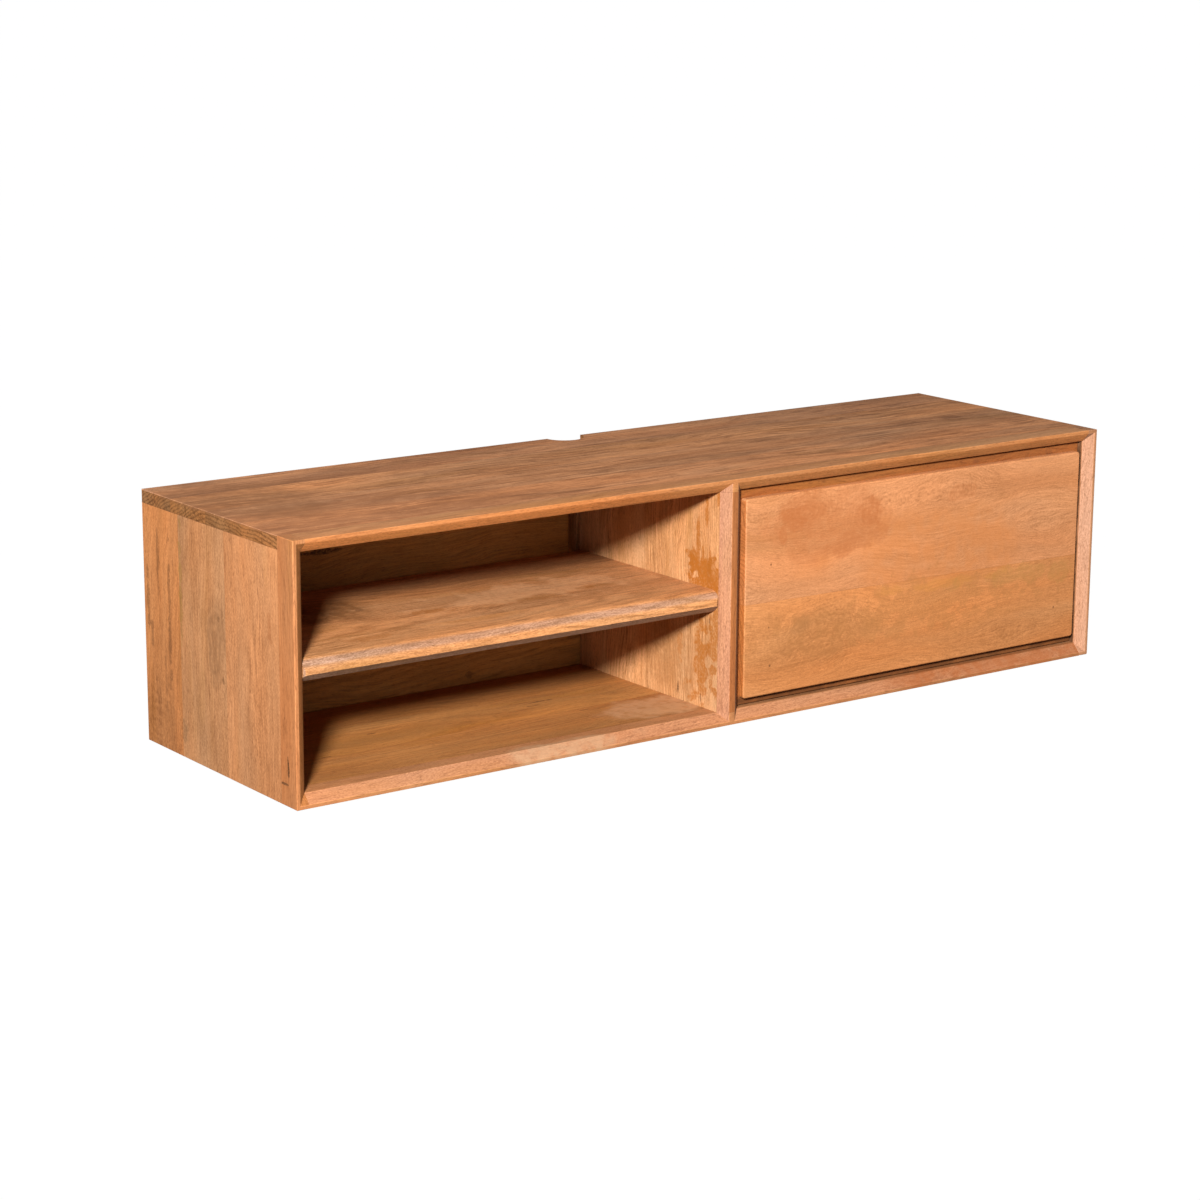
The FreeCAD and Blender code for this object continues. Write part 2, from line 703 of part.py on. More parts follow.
# Shelf: its nose is rounded above and chamfered below, and its front corners are rounded.

SHELF_LENGTH = "left_bay_width - 2 * shelf_end_play"
SHELF_DEPTH = "back_front - panel_play - shelf_setback"
SHELF_CORNER = ("board + shelf_end_play", "shelf_setback", "shelf_underside")

nosed = new_body("shelf_nosed", *SHELF_CORNER)
nosed_pad = pad(nosed, outline(nosed, "YZ_Plane", "shelf_section", [
    ("0", "shelf_chamfer_rise"), ("shelf_chamfer_run", "0"), (SHELF_DEPTH, "0"),
    (SHELF_DEPTH, "shelf_thickness"), ("0", "shelf_thickness")]), SHELF_LENGTH)
top_arris = edges_at(nosed_pad, lambda point: point.y < HAIR and point.z > SIZES["shelf_thickness"] - HAIR)
rounded(nosed, "shelf_nose", nosed_pad, top_arris, "shelf_nose_round")

cornered = new_body("shelf_cornered", *SHELF_CORNER)
shelf_plan = outline(cornered, "XY_Plane", "shelf_plan", rectangle(SHELF_LENGTH, SHELF_DEPTH))
cornered_pad = pad(cornered, shelf_plan, "shelf_thickness")
front_corners = edges_at(cornered_pad, lambda point: point.y < HAIR, along="z")
rounded(cornered, "shelf_corners", cornered_pad, front_corners, "shelf_corner_round")

shelf = doc.addObject("Part::MultiCommon", "shelf_shaped")
shelf.Shapes = [nosed, cornered]
keep("shelf", cut("shelf", shelf, holes_of("shelf_left", "shelf_right")))


# Drawer: a dowelled box on the runners. Its front board carries the proud panel.

SIDES = (("left", "box_left", "box_left_inside", "+x", "box_left_inside - dowel_bite"),
         ("right", "box_right_inside", "box_right", "-x", "box_right_inside + dowel_bite"))
FRONT_ROW = spread("drawer_bottom_edge + drawer_dowel_inset", "drawer_top_edge - drawer_dowel_inset",
                   CASE_DOWELS)
BACK_ROW = spread("base_top + drawer_dowel_inset", "drawer_top_edge - drawer_dowel_inset", 2)

base_groove = block("drawer_base_groove",
                    ("box_left_inside - drawer_base_bite - drawer_base_room",
                     "box_right_inside + drawer_base_bite + drawer_base_room"),
                    ("subfront_rear - drawer_base_bite - drawer_base_room", f"drawer_rear + {CUTTER_REACH}"),
                    ("base_underside - drawer_base_play", "base_top + drawer_base_play"))
for side, low, high, way, start in SIDES:
    middle = f"({low} + {high}) / 2"
    joint = f"subfront_{side}_side"
    joint_holes[joint] = dowels(drawer_pins, joint, "+y",
                                [(middle, "subfront_rear - dowel_bite", z) for z in FRONT_ROW])
    joint = f"back_{side}_side"
    joint_holes[joint] = dowels(drawer_pins, joint, way,
                                [(start, "drawer_rear - drawer_back / 2", z) for z in BACK_ROW])
    blank = block(f"drawer_side_{side}_blank", (low, high), ("subfront_rear", "drawer_rear"),
                  ("drawer_bottom_edge", "drawer_top_edge"))
    keep(f"drawer_side_{side}", cut(f"drawer_side_{side}", blank,
                                    [base_groove] + drawer_screw_holes[side]
                                    + holes_of(f"subfront_{side}_side", f"back_{side}_side")))

back_blank = block("drawer_back_blank", ("box_left_inside", "box_right_inside"),
                   ("drawer_back_face", "drawer_rear"), ("base_top", "drawer_top_edge"))
keep("drawer_back", cut("drawer_back", back_blank, holes_of("back_left_side", "back_right_side")))
keep("drawer_bottom", block("drawer_bottom",
                            ("box_left_inside - drawer_base_bite", "box_right_inside + drawer_base_bite"),
                            ("subfront_rear - drawer_base_bite", "drawer_rear"),
                            ("base_underside", "base_top")))

front_screws = []
front_holes = []
SCREW_ROW = spread("box_left_inside + front_screw_inset", "box_right_inside - front_screw_inset",
                   FRONT_SCREWS)
for z_name, z in (("low", "base_top + front_screw_rise"), ("high", "drawer_top_edge - front_screw_rise")):
    for number, x in enumerate(SCREW_ROW, start=1):
        front_holes.append(screw(front_screws, f"front_{z_name}_{number}", "-y", (x, "subfront_rear", z),
                                 "board + front_screw_bite"))
subfront_blank = block("drawer_subfront_blank",
                       ("right_bay_start + drawer_gap", "right_bay_end - drawer_gap"),
                       ("drawer_setback", "subfront_rear"),
                       ("board + drawer_gap", "bay_ceiling - drawer_gap"))
keep("drawer_subfront", cut("drawer_subfront", subfront_blank,
                            [base_groove] + front_holes
                            + holes_of("subfront_left_side", "subfront_right_side")))

panel = new_body("front_panel_body", "right_bay_start + panel_side_margin", "drawer_setback",
                 "board + panel_bottom_margin")
panel_pad = pad(panel, outline(panel, "XZ_Plane", "panel_elevation", rectangle(
    "right_bay_end - right_bay_start - 2 * panel_side_margin",
    "bay_ceiling - board - panel_bottom_margin - panel_top_margin")), "panel_thickness")
panel_corners = rounded(panel, "panel_corners", panel_pad, edges_at(panel_pad, lambda point: True, along="y"),
                        "panel_corner_round")
front_edges = edges_at(panel_corners, lambda point: point.y < HAIR - SIZES["panel_thickness"])
rounded(panel, "panel_edges", panel_corners, front_edges, "panel_edge_round")
keep("drawer_front_panel", cut("drawer_front_panel", panel, front_holes))


# Dowels and screws, each kind in one group

keep("frame_dowels", compound("frame_dowels", frame_pins))
keep("case_dowels", compound("case_dowels", case_pins))
keep("shelf_dowels", compound("shelf_dowels", shelf_pins))
keep("drawer_dowels", compound("drawer_dowels", drawer_pins))
keep("packer_screws", compound("packer_screws", packer_screws))
keep("hanging_rail_screws", compound("hanging_rail_screws", hanging_screws))
keep("runner_case_screws", compound("runner_case_screws", runner_case_screws))
keep("runner_drawer_screws", compound("runner_drawer_screws", runner_drawer_screws))
keep("drawer_front_screws", compound("drawer_front_screws", front_screws))


# Checks, then one file for each piece

doc.recompute()
for thing in doc.Objects:
    if {"Invalid", "Error"} & set(thing.State):
        raise RuntimeError(f"{thing.Label} failed to build")
for piece in nodes:
    if piece.Shape.isNull() or not piece.Shape.isValid() or piece.Shape.Volume <= 0:
        raise RuntimeError(f"{piece.Label} has no sound shape")

os.makedirs("parts", exist_ok=True)
for piece in nodes:
    piece.Shape.exportStep(f"parts/{piece.Label}.step")
print(len(nodes), "pieces written")
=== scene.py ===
import json
from math import cos, pi, radians, sin

import bmesh
import bpy
from mathutils import Matrix, Vector


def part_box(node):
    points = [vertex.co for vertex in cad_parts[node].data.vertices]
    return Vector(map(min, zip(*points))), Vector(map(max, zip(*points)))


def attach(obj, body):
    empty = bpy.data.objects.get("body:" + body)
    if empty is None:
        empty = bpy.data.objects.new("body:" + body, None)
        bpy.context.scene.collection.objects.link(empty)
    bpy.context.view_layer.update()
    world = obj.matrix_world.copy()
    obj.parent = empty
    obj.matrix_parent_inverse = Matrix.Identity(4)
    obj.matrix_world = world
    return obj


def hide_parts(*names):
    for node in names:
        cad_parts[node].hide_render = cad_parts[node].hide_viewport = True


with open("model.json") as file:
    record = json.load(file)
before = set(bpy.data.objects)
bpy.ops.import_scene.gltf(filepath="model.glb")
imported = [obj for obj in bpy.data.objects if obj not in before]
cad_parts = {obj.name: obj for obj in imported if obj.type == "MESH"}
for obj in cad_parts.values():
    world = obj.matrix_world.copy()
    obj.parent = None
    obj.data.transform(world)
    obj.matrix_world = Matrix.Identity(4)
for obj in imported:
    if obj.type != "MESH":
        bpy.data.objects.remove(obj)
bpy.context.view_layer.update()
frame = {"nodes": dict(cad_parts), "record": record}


# Left stile: a full-height upright of the face frame, solid hardwood rubbed with oil, its inner
# edge planed to a wide bevel. The rails are dowelled and glued to it. Its sharp edges are eased
# by hand, and where it lies flush with its neighbour a hairline joint stays.

def place(tree, kind, sockets=None, **settings):
    """One node of a tree, with its settings made and its sockets filled or wired."""
    node = tree.nodes.new(kind)
    for name, value in settings.items():
        setattr(node, name, value)
    for name, value in (sockets or {}).items():
        socket = node.inputs[name]
        if isinstance(value, bpy.types.NodeSocket):
            tree.links.new(value, socket)
        elif socket.type == "RGBA" and len(value) == 3:
            socket.default_value = (*value, 1.0)
        else:
            socket.default_value = value
    return node


def reckon(tree, operation, *values):
    return place(tree, "ShaderNodeMath", dict(enumerate(values)), operation=operation).outputs[0]


def total(tree, one, other):
    return reckon(tree, "ADD", one, other)


def less(tree, one, other):
    return reckon(tree, "SUBTRACT", one, other)


def times(tree, one, other, plus=None):
    if plus is None:
        return reckon(tree, "MULTIPLY", one, other)
    return reckon(tree, "MULTIPLY_ADD", one, other, plus)


def reckon_vector(tree, operation, *values):
    made = place(tree, "ShaderNodeVectorMath", dict(enumerate(values)), operation=operation)
    return made.outputs["Value" if operation in ("LENGTH", "DOT_PRODUCT") else "Vector"]


def split(tree, vector):
    return place(tree, "ShaderNodeSeparateXYZ", {0: vector}).outputs


def joined(tree, *numbers):
    return place(tree, "ShaderNodeCombineXYZ", dict(enumerate(numbers))).outputs[0]


def kept_within(tree, value):
    """The value held between 0 and 1."""
    return place(tree, "ShaderNodeClamp", {0: value}).outputs[0]


def cloud(tree, vector, stretch, detail=2.0):
    """Blotches, fibres and pores are one cloud with other numbers of waves to the metre each way."""
    sockets = {"Vector": reckon_vector(tree, "MULTIPLY", vector, stretch), "Scale": 1.0, "Detail": detail}
    return place(tree, "ShaderNodeTexNoise", sockets).outputs["Fac"]


def swing(tree, vector, stretch, detail=2.0):
    """The same cloud about nought."""
    return less(tree, cloud(tree, vector, stretch, detail), 0.5)


def between(tree, value, low, high):
    """0 below low, 1 above high, and a soft step from one to the other."""
    sockets = {"Value": value, "From Min": low, "From Max": high}
    return place(tree, "ShaderNodeMapRange", sockets, interpolation_type="SMOOTHSTEP").outputs[0]


def blended(tree, amount, under, over, how="MIX"):
    sockets = {0: amount, 6: under, 7: over}
    return place(tree, "ShaderNodeMix", sockets, data_type="RGBA", blend_type=how).outputs[2]


def shader_group(name, takes, gives):
    """An empty shader group with its sockets, a colour's start having four numbers."""
    tree = bpy.data.node_groups.new(name, "ShaderNodeTree")
    for label, start in takes.items():
        kind = "Float" if isinstance(start, float) else "Vector" if len(start) == 3 else "Color"
        socket = tree.interface.new_socket(label, in_out="INPUT", socket_type="NodeSocket" + kind)
        socket.default_value = start
    for label, kind in gives.items():
        tree.interface.new_socket(label, in_out="OUTPUT", socket_type="NodeSocket" + kind)
    return tree, tree.nodes.new("NodeGroupInput").outputs, tree.nodes.new("NodeGroupOutput").inputs


WHITE = (1.0, 1.0, 1.0, 1.0)
PAST_THE_BOARD = 9.0
GLUE_LINE = (0.0002, 0.0006)
solid_timber, given, result = shader_group("solid_timber", {
    "Vector": (0.0, 0.0, 0.0), "Normal": (0.0, 0.0, 1.0), "Grain": (1.0, 0.0, 0.0),
    "Light": WHITE, "Dark": WHITE, "Gold": (0.34, 0.14, 0.022, 1.0), "Pink": (1.1, 1.22, 1.5, 1.0),
    "End": (0.72, 0.68, 0.58, 1.0),
    "Joint A": PAST_THE_BOARD, "Joint B": PAST_THE_BOARD, "Joint C": PAST_THE_BOARD, "Lean": 0.0,
    "Board A": WHITE, "Board B": WHITE, "Board C": WHITE, "Board D": WHITE, "Seed": 0.0,
    "Pith": 0.07, "Tilt": 0.05, "Wander": 0.03, "Spacing": 0.005, "Sway": 0.012, "Figure": 0.0,
    "Rings": 0.3, "Blotch": 1.3, "Streak": 0.6, "Lines": 0.5, "Ripple": 0.0, "Fibre": 0.7, "Speckle": 0.5,
    "Fleck": 0.3, "Dash": 0.0, "Pore": 0.5, "Golden": 0.35, "Drift": 0.6, "Arris": 0.0,
}, {"Color": "Color", "Height": "Float", "Roughness": "Float"})
t = solid_timber

# Which board of the glued-up width the point lies in, and how that board was cut from the log.
parts = split(t, given["Vector"])
width = less(t, parts[1], times(t, parts[0], given["Lean"]))
past = [reckon(t, "GREATER_THAN", width, given["Joint " + letter]) for letter in "ABC"]
gaps = [reckon(t, "ABSOLUTE", less(t, width, given["Joint " + letter])) for letter in "ABC"]
number = total(t, total(t, past[0], past[1]), past[2])
chance = place(t, "ShaderNodeTexWhiteNoise", {"W": times(t, number, 3.7, plus=given["Seed"])},
               noise_dimensions="1D").outputs["Color"]
shift = reckon_vector(t, "SUBTRACT", chance, (0.5, 0.5, 0.5))
log = reckon_vector(t, "ADD", given["Vector"], reckon_vector(t, "MULTIPLY", shift, (3.0, 0.16, 0.05)))

# The fibres sway to and fro along the board.
sway = times(t, swing(t, log, (5.0, 11.0, 11.0), 1.0), given["Sway"])
log = reckon_vector(t, "ADD", log, joined(t, 0.0, times(t, sway, 4.0), sway))

# Growth rings round the pith, wandering along the board.
lines = split(t, log)
deep = total(t, times(t, lines[0], given["Tilt"], plus=lines[2]), given["Pith"])
radius = reckon(t, "SQRT", times(t, lines[1], lines[1], plus=times(t, deep, deep)))
radius = times(t, swing(t, log, (1.6, 7.0, 7.0)), given["Wander"], plus=radius)
turns = reckon(t, "DIVIDE", radius, given["Spacing"])
turns = times(t, swing(t, log, (7.0, 34.0, 34.0), 3.0), 1.6, plus=turns)
wave = times(t, reckon(t, "SINE", times(t, turns, 2 * pi)), 0.5, plus=0.5)
latewood = less(t, reckon(t, "POWER", wave, 2.2), 0.38)
calm = between(t, cloud(t, log, (3.0, 13.0, 13.0)), 0.36, 0.62)

# Blotches, streaks, fine lines, fibres, flecks, dark dashes, pores and amber streaks.
blotch = swing(t, log, (2.4, 14.0, 14.0), 3.0)
patch = cloud(t, log, (6.0, 27.0, 27.0))
drift = swing(t, log, (3.1, 19.0, 19.0))
streak = swing(t, log, (5.0, 75.0, 75.0), 4.0)
stripe = less(t, between(t, cloud(t, log, (11.0, 330.0, 330.0), 3.0), 0.40, 0.62), 0.5)
stripe = times(t, stripe, between(t, patch, 0.38, 0.60))
ripple = swing(t, log, (170.0, 16.0, 16.0))
fibre = swing(t, log, (42.0, 900.0, 900.0))
short = swing(t, log, (300.0, 850.0, 850.0), 1.0)
fleck = between(t, cloud(t, log, (20.0, 260.0, 260.0)), 0.56, 0.70)
dash = between(t, cloud(t, log, (13.0, 105.0, 105.0), 3.0), 0.54, 0.66)
pore = between(t, cloud(t, log, (110.0, 1300.0, 1300.0), 1.0), 0.58, 0.70)
amber = between(t, cloud(t, log, (3.4, 26.0, 26.0), 3.0), 0.52, 0.72)

# A face planed across the fibres shows short pale grain, and its tint is partly painted light:
# paler where a bevel catches a sheen, darker where it lies in shade. The ends are darker, with rings.
faces = [reckon(t, "ABSOLUTE", way) for way in split(t, given["Normal"])]
square = reckon(t, "MAXIMUM", faces[0], reckon(t, "MAXIMUM", faces[1], faces[2]))
oblique = less(t, 1.0, between(t, square, 0.80, 0.97))
end_on = reckon(t, "ABSOLUTE", reckon_vector(t, "DOT_PRODUCT", given["Normal"], given["Grain"]))
ended = between(t, end_on, 0.80, 0.95)

# How light the wood is between its dark and its light colour.
ringed = times(t, times(t, latewood, calm), given["Rings"])
ringed = times(t, times(t, ended, latewood), 0.5, plus=ringed)
tone = total(t, times(t, blotch, given["Blotch"], plus=0.5), given["Figure"])
tone = less(t, tone, ringed)
for pattern, label in ((streak, "Streak"), (stripe, "Lines"), (ripple, "Ripple"), (fibre, "Fibre")):
    tone = times(t, pattern, given[label], plus=tone)
speckled = times(t, reckon(t, "MAXIMUM", oblique, ended), 0.9, plus=given["Speckle"])
tone = times(t, short, speckled, plus=tone)
colour = blended(t, kept_within(t, tone), given["Dark"], given["Light"])
colour = blended(t, times(t, amber, given["Golden"]), colour, given["Gold"])

# Warmer and cooler places drift along the board, and each board has its own tint.
hue = times(t, drift, given["Drift"], plus=1.0)
warmth = place(t, "ShaderNodeCombineColor", {
    0: reckon(t, "POWER", hue, 0.3), 1: reckon(t, "POWER", hue, -0.3), 2: reckon(t, "DIVIDE", 1.0, hue)})
board = given["Board A"]
for step, letter in zip(past, "BCD"):
    board = blended(t, step, board, given["Board " + letter])
colour = blended(t, 1.0, colour, warmth.outputs[0], "MULTIPLY")
colour = blended(t, 1.0, colour, board, "MULTIPLY")

# The marks of the wood and of its making, each with how far it shows and its tint.
narrowest = reckon(t, "MINIMUM", gaps[0], reckon(t, "MINIMUM", gaps[1], gaps[2]))
glue = less(t, 1.0, between(t, narrowest, *GLUE_LINE))
glue = times(t, glue, between(t, patch, 0.30, 0.60))
# Eased arrises are lightened: partly rubbed wear, partly a painted highlight along the edges.
arris_wear_and_highlight = reckon(t, "MAXIMUM", given["Arris"], 0.0)
seam = reckon(t, "MAXIMUM", times(t, given["Arris"], -1.0), 0.0)
for where, amount, tint in (
        (fleck, given["Fleck"], (0.42, 0.36, 0.30)), (dash, given["Dash"], (0.55, 0.50, 0.47)),
        (pore, given["Pore"], (0.34, 0.26, 0.20)), (glue, 0.35, (0.45, 0.38, 0.30)),
        (oblique, 1.0, given["Pink"]), (ended, 1.0, given["End"]),
        (arris_wear_and_highlight, 0.35, (1.45, 1.5, 1.6)), (seam, 0.75, (0.25, 0.17, 0.12))):
    colour = blended(t, times(t, where, amount), colour, tint, "MULTIPLY")
relief = times(t, pore, -0.9, plus=times(t, fibre, 0.8, plus=0.5))
t.links.new(colour, result["Color"])
t.links.new(times(t, short, 0.5, plus=relief), result["Height"])
t.links.new(times(t, blotch, -0.18, plus=times(t, pore, 0.12, plus=0.62)), result["Roughness"])

# A knot, a dash or a streak: an oval place with a ragged edge, and rings that close round it.
grain_mark, given, result = shader_group("grain_mark", {
    "Vector": (0.0, 0.0, 0.0), "Place": (0.0, 0.0, 0.0), "Size": (1.0, 1.0, 1.0), "Ragged": 0.4,
    "Weave": 90.0, "Turns": 4.0}, {"Mask": "Float", "Figure": "Float"})
t = grain_mark
apart = reckon_vector(t, "SUBTRACT", given["Vector"], given["Place"])
length = reckon_vector(t, "LENGTH", reckon_vector(t, "DIVIDE", apart, given["Size"]))
torn = place(t, "ShaderNodeTexNoise", {"Vector": given["Vector"], "Scale": given["Weave"], "Detail": 3.0})
torn = times(t, less(t, torn.outputs["Fac"], 0.5), given["Ragged"])
edge = times(t, torn, 3.0, plus=length)
closed = reckon(t, "SINE", times(t, times(t, edge, given["Turns"]), 2 * pi))
fading = reckon(t, "EXPONENT", times(t, times(t, length, length), -1.2))
mottle = place(t, "ShaderNodeTexNoise", {
    "Vector": given["Vector"], "Scale": times(t, given["Weave"], 6.0), "Detail": 3.0})
mottle = times(t, mottle.outputs["Fac"], 2.4, plus=-0.35)
mask = times(t, less(t, 1.0, between(t, edge, 0.55, 1.0)), mottle)
t.links.new(kept_within(t, mask), result["Mask"])
t.links.new(times(t, closed, fading), result["Figure"])


def mark(spot, size, colour, strength=0.8, ragged=0.4, weave=90.0, figure=0.0, turns=4.0):
    """A mark at a spot in millimetres, with its half sizes; figure is how far its rings show."""
    sockets = {"Place": Vector(spot) / 1000, "Size": Vector(size) / 1000, "Ragged": ragged,
               "Weave": weave, "Turns": turns}
    return sockets, colour, strength, figure


def new_material(name):
    """A material, with its tree and its shader."""
    material = bpy.data.materials.new(name)
    material.use_nodes = True
    return material, material.node_tree, material.node_tree.nodes["Principled BSDF"]


def coat(tree, shader, surface, colour, relief, depth):
    """Wires a surface's colour, roughness and height to the shader."""
    bump = place(tree, "ShaderNodeBump", {
        "Height": surface.outputs["Height"], "Strength": relief, "Distance": depth})
    tree.links.new(colour, shader.inputs["Base Color"])
    tree.links.new(surface.outputs["Roughness"], shader.inputs["Roughness"])
    tree.links.new(bump.outputs[0], shader.inputs["Normal"])


AXES = {"X": Vector((1, 0, 0)), "Y": Vector((0, 1, 0)), "Z": Vector((0, 0, 1))}


def timber(name, along, across, light, dark, boards=(), joints=(), marks=(), crown=None,
           sheen=0.25, relief=0.3, **grain):
    """An oiled board's finish. The grain runs along one axis, the board's width lies across another."""
    material, tree, shader = new_material(name)
    where = tree.nodes.new("ShaderNodeTexCoord").outputs
    length, width = AXES[along], AXES[across]
    turn = Matrix((length, width, length.cross(width))).to_euler()
    board = place(tree, "ShaderNodeMapping", {"Vector": where["Object"], "Rotation": turn})
    figure, stains = 0.0, []
    for sockets, stain, strength, ringing in marks:
        made = place(tree, "ShaderNodeGroup", {"Vector": where["Object"], **sockets}, node_tree=grain_mark)
        stains.append((made.outputs["Mask"], strength, stain))
        if ringing:
            figure = times(tree, made.outputs["Figure"], ringing, plus=figure)
    values = {"Light": light, "Dark": dark, "Grain": length, "Figure": figure, "Vector": board.outputs[0],
              "Normal": where["Normal"], **grain}
    values["Arris"] = place(tree, "ShaderNodeAttribute", attribute_name="arris").outputs["Fac"]
    values.update({"Joint " + letter: joint for letter, joint in zip("ABC", joints)})
    values.update({"Board " + letter: tint for letter, tint in zip("ABCD", boards)})
    wood = place(tree, "ShaderNodeGroup", values, node_tree=solid_timber)
    colour = wood.outputs["Color"]
    for mask, strength, stain in stains:
        colour = blended(tree, times(tree, mask, strength), colour, stain)
    # Faces turned up are tinted browner and cooler: partly browning, partly a painted sheen.
    if crown:
        upward = between(tree, split(tree, where["Normal"])[2], 0.75, 0.95)
        colour = blended(tree, upward, colour, crown, "MULTIPLY")
    coat(tree, shader, wood, colour, relief, 0.0004)
    shader.inputs["Specular IOR Level"].default_value = sheen
    return material


BOARD_BOXES = {name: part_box(name) for name, made in frame["nodes"].items()
               if made.material_slots[0].material.name in ("oiled_hardwood", "drawer_box_wood", "plywood")}
TOUCHING = 0.0001
JUST_PAST = 0.0007
HAIRLINE = 0.00013


def meets_neighbour(node, point):
    """Whether the point lies in another board, so that the faces run on flush."""
    for name, (low, high) in BOARD_BOXES.items():
        if name != node and all(low[i] - TOUCHING <= point[i] <= high[i] + TOUCHING for i in range(3)):
            return True
    return False


def set_up(name, data):
    """A new object in the scene."""
    made = bpy.data.objects.new(name, data)
    bpy.context.scene.collection.objects.link(made)
    return made


def make_plain(piece):
    """Keeps what a piece's modifiers make as its own mesh."""
    evaluated = piece.evaluated_get(bpy.context.evaluated_depsgraph_get())
    mesh = bpy.data.meshes.new_from_object(evaluated)
    piece.modifiers.clear()
    piece.data = mesh
    return mesh


def eased_board(node, body, finish, ease=0.0008, corner=None, rounding=0.0, shortest=0.008):
    """The CAD board with its arrises eased, and a hairline groove where it meets a neighbour flush.

    A corner is the line of one edge that is rounded over more, with None along the edge.
    """
    mesh = frame["nodes"][node].data.copy()
    mesh.name = node + "_wood"
    shape = bmesh.new()
    shape.from_mesh(mesh)
    bmesh.ops.remove_doubles(shape, verts=shape.verts, dist=1e-6)
    bmesh.ops.dissolve_limit(shape, angle_limit=radians(0.5), verts=shape.verts, edges=shape.edges)
    weight = shape.edges.layers.float.new("bevel_weight_edge")
    widest = max(ease, rounding)
    for edge in shape.edges:
        if len(edge.link_faces) != 2 or edge.calc_length() < shortest:
            continue
        if edge.calc_face_angle_signed() < radians(25):
            continue
        middle = (edge.verts[0].co + edge.verts[1].co) / 2
        first, second = (face.normal for face in edge.link_faces)
        flush = any(meets_neighbour(node, middle + (out - back) * JUST_PAST)
                    for out, back in ((first, second), (second, first)))
        edge[weight] = (HAIRLINE if flush else ease) / widest
        if corner and all(line is None or abs(line - end.co[i]) < TOUCHING
                          for end in edge.verts for i, line in enumerate(corner)):
            edge[weight] = rounding / widest
    shape.to_mesh(mesh)
    shape.free()
    for name in [a.name for a in mesh.attributes if a.name.startswith("UV") or a.name == "custom_normal"]:
        mesh.attributes.remove(mesh.attributes[name])
    wood = set_up(node + "_wood", mesh)
    mesh.materials.clear()
    mesh.materials.append(finish)
    mesh.materials.append(finish)
    bevel = wood.modifiers.new("ease", "BEVEL")
    bevel.limit_method = "WEIGHT"
    bevel.width = widest
    bevel.segments = 4 if rounding else 2
    bevel.use_clamp_overlap = False
    bevel.material = 1
    done = make_plain(wood)

    # The eased faces, which have the second slot, note what they are: a joint, an arris or a round.
    shape = bmesh.new()
    shape.from_mesh(done)
    arris = shape.faces.layers.float.new("arris")
    for face in shape.faces:
        if face.material_index:
            across = face.calc_area() / max(edge.calc_length() for edge in face.edges)
            face[arris] = -1.0 if across < 0.0002 else 1.0 if across < 0.0012 else 0.3
            face.material_index = 0
    low, high = BOARD_BOXES[node]
    for point in shape.verts:
        point.co = [min(max(point.co[i], low[i]), high[i]) for i in range(3)]
    shape.to_mesh(done)
    shape.free()
    done.materials.pop(index=1)
    done.shade_smooth()
    done.set_sharp_from_angle(angle=radians(16))
    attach(wood, body)
    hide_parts(node)
    return wood


def refinish(piece, finish, chosen):
    """Gives another finish to the faces of a board whose normal is chosen."""
    piece.data.materials.append(finish)
    for face in piece.data.polygons:
        if chosen(face.normal):
            face.material_index = len(piece.data.materials) - 1


# Its inner bevel, facing away from the lamp, is tinted darker: a painted shade.
left_stile_finish = timber(
    "left_stile_finish", "Z", "Y", (0.525, 0.213, 0.082), (0.29, 0.104, 0.034), Seed=2.3, Rings=0.2,
    Spacing=0.004, Blotch=0.9, Streak=0.4, Lines=0.3, Golden=0.2, End=(0.95, 0.98, 1.0),
    Pink=(0.81, 0.76, 0.58), marks=[
        mark((-700, -180.5, 46), (6, 2.4, 18), (0.05, 0.02, 0.007), 0.95, 0.5),
        mark((-700, -179, 60), (6, 1.6, 12), (0.10, 0.04, 0.014), 0.8, 0.6),
        mark((-700, -169, 29), (6, 13, 2.2), (0.07, 0.03, 0.012), 0.9)])
eased_board("left_stile", "case", left_stile_finish, 0.0009)


# Right stile: the same upright at the other end. It is a pinker, plainer board, and its lower
# outer corner was rounded over more than the others when the frame was sanded. Its inner side in
# the gap beside the drawer is painted dark, a painted shade where the panel's shadow falls.

# A dark brown painted shade for the gaps round the drawer, where shadow falls.
PAINTED_GAP_SHADE = (0.055, 0.022, 0.008)
right_stile_finish = timber(
    "right_stile_finish", "Z", "Y", (0.52, 0.252, 0.131), (0.305, 0.137, 0.062), Seed=5.1, Rings=0.15,
    Spacing=0.004, Blotch=0.8, Streak=0.35, Lines=0.2, Golden=0.12, End=(0.95, 0.98, 1.0), marks=[
        # painted shade on the inner side, where the panel's edge casts its shadow
        mark((682, -181, 175), (3, 6.5, 2000), PAINTED_GAP_SHADE, 0.9, 0.1, 6)])
eased_board("right_stile", "case", right_stile_finish, 0.0012, (0.7, None, 0.0), 0.006)


# Centre stile: the wide upright between the bays, butted under the top rail and dowelled to
# both rails. Both its edges are bevelled, and the grain on the bevels is short and speckled. Their
# strong pale tint is a painted sheen.

centre_stile_finish = timber(
    "centre_stile_finish", "Z", "X", (0.435, 0.150, 0.048), (0.249, 0.079, 0.023), Seed=8.4, Rings=0.2,
    Spacing=0.004, Blotch=0.8, Streak=0.4, Lines=0.3, Golden=0.15, Pink=(1.15, 1.50, 2.50))
centre_stile = eased_board("centre_stile", "case", centre_stile_finish, 0.0009)


# Top rail: runs between the stiles along the front of the top, glued to it and dowelled at its
# ends. Its front edge is a bright orange, and its upper face is painted browner and cooler like
# the top: partly the wood's browning, partly a painted sheen. Where the bevels of the centre stile
# run out on it, the planed faces take the stile's finish, with its painted bevel highlight.

